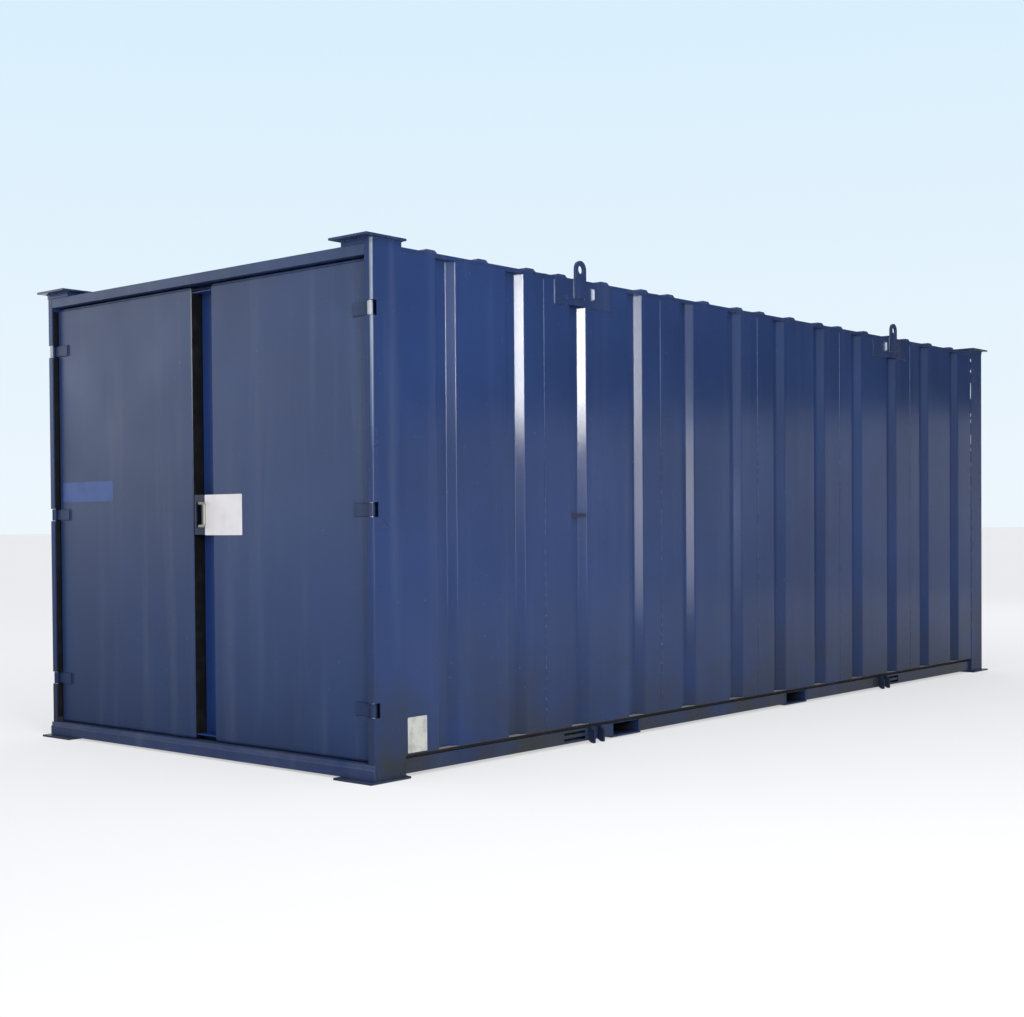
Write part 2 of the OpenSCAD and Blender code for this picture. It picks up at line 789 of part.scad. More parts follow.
// Lower half of the grab handle: a leg out of the lock box, a run to the right and half the bar.
// The origin is on the lock box's face, midway between the legs.
module handle_half() {
    leg = grip_reach - grip_bend;
    run = grip_inset - grip_foot_inset - 2 * grip_bend;
    drop = (grip_h - grip_dia) / 2;
    translate([0, 0, -drop]) {
        rotate([90, 0, 0]) cylinder(d = grip_dia, h = leg);
        translate([0, -leg, 0]) rotate(-90) bar_bend();
        translate([grip_bend, -grip_reach, 0]) rotate([0, 90, 0]) cylinder(d = grip_dia, h = run);
        translate([grip_bend + run, -grip_reach, 0]) rotate([90, 0, 0]) bar_bend();
        translate([2 * grip_bend + run, -grip_reach, grip_bend]) cylinder(d = grip_dia, h = drop - grip_bend);
    }
}

// Grab handle: an upright bar on two bent legs, whose feet stand to the left of the bar
module lock_handle() {
    color(bare_steel) translate([channel_x + grip_foot_inset, skin_y, lock_z]) {
        handle_half();
        mirror([0, 0, 1]) handle_half();
    }
}

front_left_post();
front_right_post();
rear_left_post();
rear_right_post();
foot_plates();
stacking_blocks();
stacking_plates();
door_header();
door_sill();
door_stops();
rear_top_rail();
rear_bottom_rail();
left_bottom_rail();
right_bottom_rail();
left_wall_ledge();
right_wall_ledge();
left_top_rail();
right_top_rail();
left_wall();
right_wall();
rear_wall();
roof_sheet();
floor_deck();
floor_bearers();
fork_pocket_sides();
fork_pocket_plates();
lug_spreaders();
lifting_lugs();
rail_cheeks();
recess_bars();
holdback_bars();
left_hinge_lugs();
right_hinge_lugs();
left_hinge_pins();
right_hinge_pins();
left_door_panel();
left_door_stiffeners();
left_hinge_straps();
right_door_panel();
right_door_stiffeners();
right_hinge_straps();
lock_channel();
lock_channel_caps();
lock_box();
lock_handle();
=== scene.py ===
# %% [markdown]
# # A steel site store, dressed in Blender
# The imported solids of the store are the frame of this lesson. Each cell adds one thing that the
# solids leave out: rounded folds in the sheet metal, paint that has weathered, welds, seals,
# the lock and the plates on the doors. Every piece keeps the place that the solids give it.

# %% Load the frame
import json
import math

import bmesh
import bpy
from mathutils import Matrix, Vector


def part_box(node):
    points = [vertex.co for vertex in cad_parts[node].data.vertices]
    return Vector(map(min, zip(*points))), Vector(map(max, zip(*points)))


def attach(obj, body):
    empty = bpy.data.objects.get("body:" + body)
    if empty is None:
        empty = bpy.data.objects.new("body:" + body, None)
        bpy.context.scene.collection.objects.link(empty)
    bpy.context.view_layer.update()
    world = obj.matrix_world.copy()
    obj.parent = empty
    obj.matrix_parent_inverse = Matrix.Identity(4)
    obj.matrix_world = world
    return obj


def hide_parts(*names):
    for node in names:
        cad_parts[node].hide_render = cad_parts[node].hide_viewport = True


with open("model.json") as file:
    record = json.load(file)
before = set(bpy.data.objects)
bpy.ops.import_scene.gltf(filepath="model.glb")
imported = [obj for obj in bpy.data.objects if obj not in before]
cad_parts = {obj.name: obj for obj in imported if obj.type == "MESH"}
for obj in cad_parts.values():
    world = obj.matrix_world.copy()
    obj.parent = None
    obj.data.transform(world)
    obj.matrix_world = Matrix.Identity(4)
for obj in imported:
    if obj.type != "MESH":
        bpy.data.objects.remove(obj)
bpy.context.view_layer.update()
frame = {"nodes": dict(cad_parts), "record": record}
nodes = frame["nodes"]

# %% [markdown]
# The camera comes first, because every later choice is judged through it. The photograph was taken
# from the right of the doors at about chest height. The lens and the place were worked out from the
# corners of the pad plates. The picture was cropped off centre after it was taken, so the lens is
# shifted, which keeps the upright posts upright.

# %% Camera
LENS_MM = 54.2
SENSOR_MM = 36.0
CAMERA_PLACE = Vector((6.5085, -8.8934, 1.2499))
CAMERA_YAW = math.radians(42.218)
CAMERA_PITCH = math.radians(-1.054)
CAMERA_ROLL = math.radians(-0.482)
CAMERA_SHIFT = (0.0815, 0.0425)
FAR_CLIP = 500


def camera_axes(yaw, pitch, roll):
    """Right, up and forward of a camera that looks left of +Y by yaw."""
    forward = Vector((-math.sin(yaw) * math.cos(pitch), math.cos(yaw) * math.cos(pitch), math.sin(pitch)))
    level = Vector((math.cos(yaw), math.sin(yaw), 0))
    upright = level.cross(forward)
    right = level * math.cos(roll) + upright * math.sin(roll)
    return right, right.cross(forward), forward


right, up, forward = camera_axes(CAMERA_YAW, CAMERA_PITCH, CAMERA_ROLL)
bpy.ops.object.camera_add(location=CAMERA_PLACE)
camera = bpy.context.object
camera.name = "photo_camera"
turn = Matrix((right, up, -forward)).transposed()
camera.rotation_euler = turn.to_euler()
camera.data.sensor_width = SENSOR_MM
camera.data.lens = LENS_MM
camera.data.shift_x, camera.data.shift_y = CAMERA_SHIFT
camera.data.clip_end = FAR_CLIP
bpy.context.scene.camera = camera
bpy.context.scene.view_settings.view_transform = "Standard"
print("camera at", tuple(camera.location))

# %% [markdown]
# A few small helpers stand for the moves that a modeller makes all the time: select one piece, add a
# block or a lump, pick faces by the way they look, round some edges, finish a modifier, and mirror
# a piece to the other side.

# %% Modelling helpers
ALIGNED = 0.99
SMOOTH_ANGLE = 30


def fresh():
    """Leaves nothing selected, so that the next operator acts on the new piece alone."""
    if bpy.context.object and bpy.context.object.mode != "OBJECT":
        bpy.ops.object.mode_set(mode="OBJECT")
    bpy.ops.object.select_all(action="DESELECT")


def only(piece):
    """Selects one piece alone and makes it the active one."""
    fresh()
    piece.select_set(True)
    bpy.context.view_layer.objects.active = piece


def apply_place():
    """Moves the place, turn and scale of the selected piece into its mesh."""
    bpy.ops.object.transform_apply(location=True, rotation=True, scale=True)


def block(name, low, high):
    """Adds a box between two corners, with its place in its mesh."""
    fresh()
    low, high = Vector(low), Vector(high)
    bpy.ops.mesh.primitive_cube_add(size=1, location=(low + high) / 2)
    piece = bpy.context.object
    piece.name = name
    piece.scale = high - low
    apply_place()
    return piece


def lump(name, place, size, segments):
    """Adds a squashed sphere, with its place in its mesh."""
    fresh()
    bpy.ops.mesh.primitive_uv_sphere_add(segments=segments, ring_count=6, radius=0.5, location=place)
    piece = bpy.context.object
    piece.name = name
    piece.scale = size
    apply_place()
    return piece


def edit(piece, kind="EDGE"):
    """Opens a piece in edit mode with nothing selected, and returns its net of faces and edges."""
    only(piece)
    bpy.ops.object.mode_set(mode="EDIT")
    bpy.ops.mesh.select_mode(type=kind)
    bpy.ops.mesh.select_all(action="DESELECT")
    return bmesh.from_edit_mesh(piece.data)


def pick_faces(piece, facing):
    """Opens a piece in edit mode with only those faces selected that look along facing."""
    net = edit(piece, "FACE")
    for face in net.faces:
        face.select = face.normal.dot(Vector(facing)) > ALIGNED
    bmesh.update_edit_mesh(piece.data)


def done(piece, smooth_angle=SMOOTH_ANGLE):
    """Closes edit mode and shades the piece smooth, apart from its sharp edges."""
    bpy.ops.object.mode_set(mode="OBJECT")
    bpy.ops.object.shade_smooth_by_angle(angle=math.radians(smooth_angle))
    return piece


def round_edges(piece, chosen, radius, segments=3):
    """Bevels the edges for which chosen(edge) is true."""
    net = edit(piece)
    for edge in net.edges:
        edge.select = chosen(edge)
    bmesh.update_edit_mesh(piece.data)
    bpy.ops.mesh.bevel(offset=radius, segments=segments, affect="EDGES")
    return done(piece)


def along(axis):
    """A test for edges that run along one axis: 0 is X, 1 is Y and 2 is Z."""
    return lambda edge: abs((edge.verts[0].co - edge.verts[1].co).normalized()[axis]) > ALIGNED


def every(edge):
    """A test that any edge passes."""
    return True


def add_modifier(piece, kind, **settings):
    """Adds a modifier, sets it and returns its name."""
    modifier = piece.modifiers.new(kind.lower(), kind)
    for key, value in settings.items():
        setattr(modifier, key, value)
    return modifier.name


def finish_modifier(piece, kind, **settings):
    """Adds a modifier and applies it."""
    only(piece)
    bpy.ops.object.modifier_apply(modifier=add_modifier(piece, kind, **settings))
    return piece


def sheet_metal(piece, thickness):
    """Gives a folded face its thickness inwards. The flats set the shading, so that they look flat."""
    finish_modifier(piece, "SOLIDIFY", thickness=thickness, offset=-1.0)
    bpy.ops.object.shade_smooth_by_angle(angle=math.radians(SMOOTH_ANGLE))
    return finish_modifier(piece, "WEIGHTED_NORMAL", weight=90, keep_sharp=True)


def repeated(piece, count, step):
    """Repeats a piece with an Array, each copy moved on by step."""
    return finish_modifier(piece, "ARRAY", count=count, use_relative_offset=False,
                           use_constant_offset=True, constant_offset_displace=step)


def joined(name, pieces):
    """Joins pieces of one material into one object."""
    only(pieces[0])
    for piece in pieces[1:]:
        piece.select_set(True)
    bpy.ops.object.join()
    pieces[0].name = name
    return pieces[0]


def mirror_of(piece, axis):
    """A mirrored copy across the middle plane of one axis, with its faces turned outwards again."""
    only(piece)
    bpy.ops.object.duplicate()
    twin = bpy.context.object
    flip = Matrix.Identity(4)
    flip[axis][axis] = -1
    twin.data.transform(flip)
    twin.data.flip_normals()
    return twin


def with_mirror(piece, axis=0):
    """A piece joined with its mirror image."""
    return joined(piece.name, [piece, mirror_of(piece, axis)])


def hand_over(piece, body, material):
    """Puts a finished piece on its body, with its material."""
    piece.data.materials.clear()
    piece.data.materials.append(material)
    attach(piece, body)
    return piece


# %% [markdown]
# The stage is a pale floor that runs to the horizon under a pale sky.
# Most of the light is that sky, even and soft. A tall softbox stands behind the photographer: the
# slanted sides of two wall grooves face it and show it as bright upright bars. Two weaker ones beside
# it show in the next two grooves. A wide one at the front left lies in the mirror direction of the
# doors and makes the left door a little paler, and a narrow beam from above lifts the near half of the
# long wall. The last two are weak, and fill in the roof and the closed end.
# Glossy paint also mirrors the yard. In the photograph the long wall shows a pale band with something
# dark above it, so a two-toned screen stands where that wall's mirror direction points. Only
# reflections see it.

# %% Stage and light
SKY_LOW = (0.85, 0.925, 0.985, 1)
SKY_HIGH = (0.70, 0.865, 0.985, 1)
SKY_RISE = 0.30
SKY_LIGHT = (0.90, 0.94, 1.0, 1)
SKY_STRENGTH = 0.93
FLOOR_HALF = 220

world = bpy.data.worlds.new("pale_sky")
bpy.context.scene.world = world
world.use_nodes = True
sky = world.node_tree
sky.nodes.clear()


def add(tree, kind, links=None, values=None, **settings):
    """A node with its settings, its input values and its links."""
    made = tree.nodes.new("ShaderNode" + kind)
    for key, value in settings.items():
        setattr(made, key, value)
    for key, value in (values or {}).items():
        made.inputs[key].default_value = value
    for key, source in (links or {}).items():
        tree.links.new(source, made.inputs[key])
    return made


def seen_directly(tree):
    """A value that is 1 for rays from the camera, from a mirror or through glass."""
    rays = add(tree, "LightPath").outputs
    seen = rays["Is Camera Ray"]
    for also in ("Is Glossy Ray", "Is Transmission Ray"):
        seen = add(tree, "Math", {0: seen, 1: rays[also]}, operation="MAXIMUM").outputs[0]
    return seen


direction = add(sky, "TexCoord").outputs["Generated"]
rise = add(sky, "SeparateXYZ", {0: direction}).outputs["Z"]
climb = add(sky, "MapRange", {"Value": rise}, {"From Max": SKY_RISE}).outputs["Result"]
tint = add(sky, "Mix", {"Factor": climb}, {6: SKY_LOW, 7: SKY_HIGH}, data_type="RGBA").outputs[2]
backdrop = add(sky, "Background", {"Color": tint}).outputs[0]
light = add(sky, "Background", values={"Color": SKY_LIGHT, "Strength": SKY_STRENGTH}).outputs[0]
either = add(sky, "MixShader", {0: seen_directly(sky), 1: light, 2: backdrop}).outputs[0]
add(sky, "OutputWorld", {"Surface": either})


def softbox(name, place, aim, size, power, spread=180):
    """A rectangular area light that faces a point and doesn't show in the picture."""
    bpy.ops.object.light_add(type="AREA", location=place)
    lamp = bpy.context.object
    lamp.name = name
    lamp.rotation_euler = (Vector(aim) - Vector(place)).to_track_quat("-Z", "Y").to_euler()
    lamp.data.shape = "RECTANGLE"
    lamp.data.size, lamp.data.size_y = size
    lamp.data.energy = power
    lamp.data.spread = math.radians(spread)
    lamp.visible_camera = False
    return lamp


softbox("groove_light", (8.52, -7.54, 3.30), (1.3, -2.1, 1.8), (1.35, 1.9), 400)
softbox("next_groove_light", (8.95, -6.45, 3.25), (1.3, -1.3, 1.9), (0.7, 1.7), 42)
softbox("low_light", (8.85, -6.0, 1.35), (1.3, -1.0, 1.2), (1.7, 2.1), 90)
softbox("door_light", (-10.0, -8.6, 4.0), (-0.8, -3.5, 1.8), (5.0, 4.5), 116)
softbox("wall_light", (7.5, -4.5, 8.0), (1.3, -1.6, 1.6), (2.5, 2.5), 22, 60)
softbox("top_light", (-1.0, -4.0, 11.0), (-0.5, -2.0, 1.0), (11.0, 11.0), 120)
softbox("rear_light", (-4.0, 12.0, 6.0), (0.0, 3.0, 1.2), (6.0, 4.0), 130)

fresh()
bpy.ops.mesh.primitive_plane_add(size=2 * FLOOR_HALF)
floor = bpy.context.object
floor.name = "studio_floor"

SCREEN_PLACE = Vector((10.0, 13.5, 0))
SCREEN_SIZE = (44, 14)
SCREEN_BAND = 3.05

fresh()
bpy.ops.mesh.primitive_plane_add(size=1, location=SCREEN_PLACE + Vector((0, 0, SCREEN_SIZE[1] / 2)),
                                 rotation=(math.pi / 2, 0, -CAMERA_YAW))
screen = bpy.context.object
screen.name = "yard_screen"
screen.scale = (*SCREEN_SIZE, 1)
apply_place()
screen.visible_camera = False
screen.visible_diffuse = False
screen.visible_shadow = False

# %% [markdown]
# Materials are built from nodes that read Object coordinates, so they hold still on the piece when
# a door opens. A few more helpers stand for the steps that every finish takes: noise, a change of
# range, a product, and a mix of two colours.

# %% Material helpers


def new_material(name):
    """A material, its node tree, its Principled shader and its Object coordinates."""
    material = bpy.data.materials.new(name)
    material.use_nodes = True
    tree = material.node_tree
    tree.nodes.clear()
    shader = add(tree, "BsdfPrincipled")
    add(tree, "OutputMaterial", {"Surface": shader.outputs["BSDF"]})
    return material, tree, shader, add(tree, "TexCoord").outputs["Object"]


def feed(tree, socket, value):
    """Gives an input a colour, a number or a link."""
    if isinstance(value, tuple):
        socket.default_value = (*value, 1)
    elif isinstance(value, (int, float)):
        socket.default_value = value
    else:
        tree.links.new(value, socket)


def connect(tree, shader, tone, rough, shine=None, bump=None):
    """Feeds the colour, roughness, shine and bump of a finish into its shader."""
    sources = {"Base Color": tone, "Roughness": rough, "Specular IOR Level": shine, "Normal": bump}
    for key, source in sources.items():
        if source is not None:
            feed(tree, shader.inputs[key], source)


def object_noise(tree, place, scale, detail=4, stretch=(1, 1, 1), roughness=0.55):
    """Noise on Object coordinates, stretched along an axis if asked."""
    mapped = add(tree, "Mapping", {"Vector": place}, {"Scale": stretch})
    made = add(tree, "TexNoise", {"Vector": mapped.outputs[0]},
               {"Scale": scale, "Detail": detail, "Roughness": roughness})
    return made.outputs["Fac"]


def ranged(tree, source, low, high, to_low=0.0, to_high=1.0):
    """A value moved from one range to another, and held at its ends."""
    made = add(tree, "MapRange", {"Value": source},
               {"From Min": low, "From Max": high, "To Min": to_low, "To Max": to_high})
    return made.outputs["Result"]


def times(tree, first, second):
    """The product of two values. The second may be a number."""
    made = add(tree, "Math", {0: first}, operation="MULTIPLY")
    feed(tree, made.inputs[1], second)
    return made.outputs[0]


def blended(tree, factor, first, second):
    """Two colours mixed by a value. Each may be a colour or a socket."""
    made = add(tree, "Mix", {"Factor": factor}, data_type="RGBA")
    feed(tree, made.inputs[6], first)
    feed(tree, made.inputs[7], second)
    return made.outputs[2]


def shade(colour, share):
    """A colour made lighter or darker by a share."""
    return tuple(channel * share for channel in colour)


# %% [markdown]
# The paint is a semi-gloss navy that has stood outdoors. Seen close, real site paint has broad
# patches of slightly different tone, faint upright streaks where rain has run, dust that thickens
# towards the ground, tiny chips, and the soft ripple of thin sheet under the gloss. Each is one noise
# pattern, and one function makes all the paints. What sticks out gets a pale painted highlight in the
# upper half, where the sky would shine on its rounded edge: the outer folds of the posts, the hinge
# knuckles and the ribs beside the lifting eyes. Each lies further from the two middle planes than the
# rest of its piece, so a weighted sum of those distances finds it. The free edge of the left door lies
# nearest to the middle, so its weight is below zero. Faces that look up get a pale tone, which is dust
# with painted top light on them, and the fork pockets turn near-black towards the inside.

# %% Paint finishes
NAVY = (0.015, 0.031, 0.095)
CHALK = (0.17, 0.19, 0.24)
DUST = (0.025, 0.028, 0.030)
SILL_DUST = (0.17, 0.17, 0.18)
CHIP = (0.30, 0.31, 0.34)
# Pale tones of the painted highlight and of faces that look up (dust with painted top light), and the
# near-black inside the fork pockets.
HIGHLIGHT_PALE = (0.17, 0.20, 0.25)
DUST_AND_TOP_LIGHT_TONE = (0.30, 0.28, 0.27)
POCKET_INNER_TONE = (0.010, 0.009, 0.009)
# The painted highlight fades in between these two heights.
HIGHLIGHT_LOW, HIGHLIGHT_HIGH = 1.6, 2.2
HIGHLIGHT_SPREAD = 0.003
FOLD_START = (1, 1, 4.9262)
KNUCKLE_START = (0.4, 1, 4.108)
RIB_START = (1, 0, 1.352)
FREE_EDGE_START = (-1, 0, -0.0575)
ANYWHERE = (1, 0, 0)
POCKET_MOUTH = 1.322
POCKET_FADE = 0.1
PATCH_SCALE, RAIN_SCALE, CLOUD_SCALE, CHIP_SCALE = 0.8, 7.0, 2.6, 55.0
RIPPLE_SCALE, GRAIN_SCALE = 1.7, 420.0
DUST_LOW, DUST_HIGH = 0.02, 0.95
SHINE_LOW, SHINE_HIGH = 0.1, 1.4
DULL_SHARE = 0.2


def reach(tree, place, across, length):
    """The distances of a point from the two middle planes, weighted and added up."""
    sides = add(tree, "SeparateXYZ", {0: place}).outputs
    spans = []
    for axis, share in (("X", across), ("Y", length)):
        distance = add(tree, "Math", {0: sides[axis]}, operation="ABSOLUTE").outputs[0]
        spans.append(times(tree, distance, share))
    return add(tree, "Math", {0: spans[0], 1: spans[1]}, operation="ADD").outputs[0]


def paint(name, colour, gloss=0.24, streaks=0.12, dust=0.35, chips=0.15, ripple=0.0, specular=0.4,
          dust_tone=DUST, highlight_at=None, highlight_tone=HIGHLIGHT_PALE, dust_and_top_light=0.0, mouth=None):
    """Weathered paint on steel. Dust dulls its shine near the ground.

    A pale painted highlight lies on the upper part of the edges that stick out, found by two weights
    and the sum at which it starts. Faces that look up get a pale tone, dust with painted top light on
    them, by their own share. Within mouth of the middle, the piece turns near-black further in.
    """
    material, tree, shader, place = new_material(name)
    height = add(tree, "SeparateXYZ", {0: place}).outputs["Z"]
    broad = object_noise(tree, place, PATCH_SCALE)
    tone = blended(tree, ranged(tree, broad, 0.35, 0.65), shade(colour, 0.88), shade(colour, 1.16))
    rain = object_noise(tree, place, RAIN_SCALE, 5, (1, 1, 0.06))
    tone = blended(tree, times(tree, ranged(tree, rain, 0.52, 0.80), streaks), tone, CHALK)
    cloud = object_noise(tree, place, CLOUD_SCALE, 6)
    lowness = ranged(tree, height, DUST_LOW, DUST_HIGH, 1, 0)
    near_ground = times(tree, lowness, ranged(tree, cloud, 0.25, 0.65))
    tone = blended(tree, times(tree, near_ground, dust), tone, dust_tone)
    fine = object_noise(tree, place, CHIP_SCALE, 3)
    tone = blended(tree, times(tree, ranged(tree, fine, 0.70, 0.74), chips), tone, CHIP)
    # A pale painted highlight on the edges that stick out, in the upper part only.
    if highlight_at:
        across, length, start = highlight_at
        found = ranged(tree, reach(tree, place, across, length), start, start + HIGHLIGHT_SPREAD)
        patchy = ranged(tree, cloud, 0.25, 0.6, 0.6, 1.0)
        shown_above = times(tree, ranged(tree, height, HIGHLIGHT_LOW, HIGHLIGHT_HIGH), patchy)
        tone = blended(tree, times(tree, found, shown_above), tone, highlight_tone)
    # Faces that look up turn pale: dust, with painted top light.
    if dust_and_top_light:
        facing = add(tree, "NewGeometry").outputs["Normal"]
        level = ranged(tree, add(tree, "SeparateXYZ", {0: facing}).outputs["Z"], 0.6, 0.9)
        tone = blended(tree, times(tree, level, dust_and_top_light), tone, DUST_AND_TOP_LIGHT_TONE)
    # Near-black further inside, towards the middle.
    if mouth:
        depth = ranged(tree, reach(tree, place, 1, 0), mouth - POCKET_FADE, mouth, 1, 0)
        tone = blended(tree, depth, tone, POCKET_INNER_TONE)
    worn = ranged(tree, cloud, 0.3, 0.7, gloss * 0.85, gloss * 1.25)
    shine = ranged(tree, height, SHINE_LOW, SHINE_HIGH, specular * DULL_SHARE, specular)
    wave = add(tree, "Bump", {"Height": object_noise(tree, place, RIPPLE_SCALE, 2, (1, 1, 0.5))},
               {"Strength": ripple, "Distance": 0.02})
    speckle = object_noise(tree, place, GRAIN_SCALE, 2)
    grain = add(tree, "Bump", {"Height": speckle, "Normal": wave.outputs[0]},
                {"Strength": 0.12, "Distance": 0.0006})
    connect(tree, shader, tone, worn, shine, grain.outputs[0])
    return material


DOOR_NAVY = (0.0145, 0.0315, 0.092)
DEEP_NAVY = shade(NAVY, 0.85)
body_paint = paint("navy_body_paint", NAVY, gloss=0.11, streaks=0.06, dust=0.8, ripple=0.16, specular=0.30)
# The roof gets a little of the pale tone on faces that look up, dust with painted top light.
roof_paint = paint("chalked_roof_paint", NAVY, gloss=0.62, dust=0.0, ripple=0.16, specular=0.15,
                   dust_and_top_light=0.10)
frame_paint = paint("navy_frame_paint", DEEP_NAVY, dust=1.0, ripple=0.04)
# The post paint carries a pale painted highlight on the outer folds, in the upper half.
post_paint = paint("post_paint_painted_highlight", NAVY, dust=1.1, ripple=0.04, specular=0.22, highlight_at=FOLD_START)
# The ribs beside the lifting eyes get a pale painted highlight.
spreader_paint = paint("rib_paint_painted_highlight", DEEP_NAVY, ripple=0.04, highlight_at=RIB_START,
                       highlight_tone=(0.45, 0.48, 0.55))
sill_paint = paint("dusty_sill_paint", NAVY, gloss=0.34, dust=0.25, ripple=0.04, dust_tone=SILL_DUST)
# The step paint is pale on its chamfer: dust, with painted top light.
step_paint = paint("step_paint_dust_and_highlight", shade(NAVY, 0.9), gloss=0.36, dust=0.10, ripple=0.04,
                   dust_tone=SILL_DUST, dust_and_top_light=0.15)
# The ledge paint is near-black, a painted shade under the wall's overhang, with a pale top face.
ledge_paint = paint("ledge_paint_painted_shade", (0.026, 0.023, 0.024), gloss=0.45, dust_and_top_light=0.8)
# The fork pocket paint turns near-black further inside the pockets.
pocket_paint = paint("pocket_paint_darker_inside", DEEP_NAVY, gloss=0.40, mouth=POCKET_MOUTH)
door_paint = paint("chalked_door_paint", DOOR_NAVY, gloss=0.36, streaks=0.14, dust=0.25, ripple=0.14)
# The left leaf's paint carries a pale painted highlight along its free edge.
leaf_paint = paint("leaf_paint_painted_highlight", DOOR_NAVY, gloss=0.36, streaks=0.14, dust=0.25, ripple=0.14,
                   highlight_at=FREE_EDGE_START, highlight_tone=(0.14, 0.15, 0.155))
# The hinge knuckles get a pale painted highlight in the upper half.
hinge_paint = paint("hinge_paint_painted_highlight", shade(DOOR_NAVY, 0.75), gloss=0.40, specular=0.3,
                    highlight_at=KNUCKLE_START, highlight_tone=(0.34, 0.35, 0.38))
box_paint = paint("handled_lock_paint", (0.015, 0.019, 0.040), gloss=0.40, dust=0.0, specular=0.3)
channel_paint = paint("sheltered_channel_paint", (0.012, 0.036, 0.15), gloss=0.30, streaks=0.05, dust=0.1,
                      ripple=0.25)
dark_paint = paint("dark_fitting_paint", (0.008, 0.014, 0.040), gloss=0.42)
# The weld paint is pale, a painted glint on the beads.
bead_paint = paint("weld_paint_painted_glint", (0.15, 0.18, 0.27), gloss=0.22, chips=0.8)
# The rear stitches are pale in the upper half, a painted glint.
stitch_paint = paint("stitch_paint_painted_glint", NAVY, gloss=0.30, highlight_at=ANYWHERE, highlight_tone=(0.55, 0.57, 0.60))
# The seam laps get a pale painted highlight in the upper half.
seam_paint = paint("seam_paint_painted_highlight", NAVY, gloss=0.26, highlight_at=ANYWHERE, highlight_tone=(0.09, 0.12, 0.20))
print("paints made")

# %% [markdown]
# The other finishes are plain steel on the pins and the handle, black rubber on the seals, smooth
# vinyl on the doors, brushed aluminium on the small wall plate, and plywood on the floor. The stage
# gets its two plain ones here too.

# %% Other finishes


def steel(name, colour, rough, metallic=1.0):
    """Dull metal with fine brushing and darker stains."""
    material, tree, shader, place = new_material(name)
    brushed = object_noise(tree, place, 60.0, 4, (1, 1, 0.05))
    stain = object_noise(tree, place, 18.0, 5)
    tone = blended(tree, ranged(tree, stain, 0.45, 0.75), colour, shade(colour, 0.55))
    worn = ranged(tree, brushed, 0.3, 0.7, rough * 0.8, rough * 1.3)
    shader.inputs["Metallic"].default_value = metallic
    bump = add(tree, "Bump", {"Height": brushed}, {"Strength": 0.15, "Distance": 0.0006})
    connect(tree, shader, tone, worn, bump=bump.outputs[0])
    return material


def vinyl(name, colour, grime):
    """A smooth sheet with faint grime."""
    material, tree, shader, place = new_material(name)
    smear = object_noise(tree, place, 9.0, 6)
    tone = blended(tree, times(tree, ranged(tree, smear, 0.45, 0.75), grime), colour, shade(colour, 0.72))
    connect(tree, shader, tone, ranged(tree, smear, 0.3, 0.7, 0.28, 0.5))
    return material


def rubber(name):
    """Black seal rubber, greyed by dust."""
    material, tree, shader, place = new_material(name)
    dusty = object_noise(tree, place, 14.0, 5)
    tone = blended(tree, ranged(tree, dusty, 0.5, 0.8), (0.004, 0.004, 0.005), (0.012, 0.012, 0.013))
    bump = add(tree, "Bump", {"Height": object_noise(tree, place, 300.0, 2)},
               {"Strength": 0.2, "Distance": 0.0005})
    connect(tree, shader, tone, ranged(tree, dusty, 0.3, 0.7, 0.55, 0.8), 0.12, bump.outputs[0])
    return material


def plywood(name):
    """Floor plywood: grain across the store, a tone for each board and trodden grey patches."""
    material, tree, shader, place = new_material(name)
    grain = object_noise(tree, place, 14.0, 8, (0.06, 1, 1))
    tone = blended(tree, ranged(tree, grain, 0.3, 0.7), (0.20, 0.115, 0.055), (0.36, 0.23, 0.12))
    each = add(tree, "NewGeometry").outputs["Random Per Island"]
    tone = blended(tree, times(tree, each, 0.45), tone, (0.17, 0.10, 0.05))
    steps = object_noise(tree, place, 1.6, 5)
    tone = blended(tree, times(tree, ranged(tree, steps, 0.45, 0.75), 0.5), tone, (0.16, 0.14, 0.12))
    bump = add(tree, "Bump", {"Height": grain}, {"Strength": 0.2, "Distance": 0.001})
    connect(tree, shader, tone, ranged(tree, steps, 0.3, 0.7, 0.5, 0.75), bump=bump.outputs[0])
    return material


FLOOR_LIFT = 0.6
SCREEN_BLUR = 0.2


def plain_floor(name):
    """The pale studio floor. It is seen lifted towards white, so that shadows stay light."""
    material, tree, shader, place = new_material(name)
    cloud = object_noise(tree, place, 0.05, 3)
    tone = blended(tree, ranged(tree, cloud, 0.3, 0.7), (0.85, 0.85, 0.852), (0.88, 0.88, 0.882))
    connect(tree, shader, tone, 0.9, 0.1)
    glow = add(tree, "Emission", values={"Color": (0.88, 0.88, 0.885, 1)})
    lift = times(tree, seen_directly(tree), FLOOR_LIFT)
    both = add(tree, "MixShader", {0: lift, 1: shader.outputs[0], 2: glow.outputs[0]})
    tree.links.new(both.outputs[0], tree.nodes["Material Output"].inputs["Surface"])
    return material


def two_tones(name, low_tone, high_tone, height):
    """A plain screen, one tone up to a height and another above it."""
    material, tree, shader, place = new_material(name)
    level = add(tree, "SeparateXYZ", {0: place}).outputs["Z"]
    above = ranged(tree, level, height - SCREEN_BLUR, height + SCREEN_BLUR)
    connect(tree, shader, blended(tree, above, low_tone, high_tone), 0.9, 0.0)
    return material


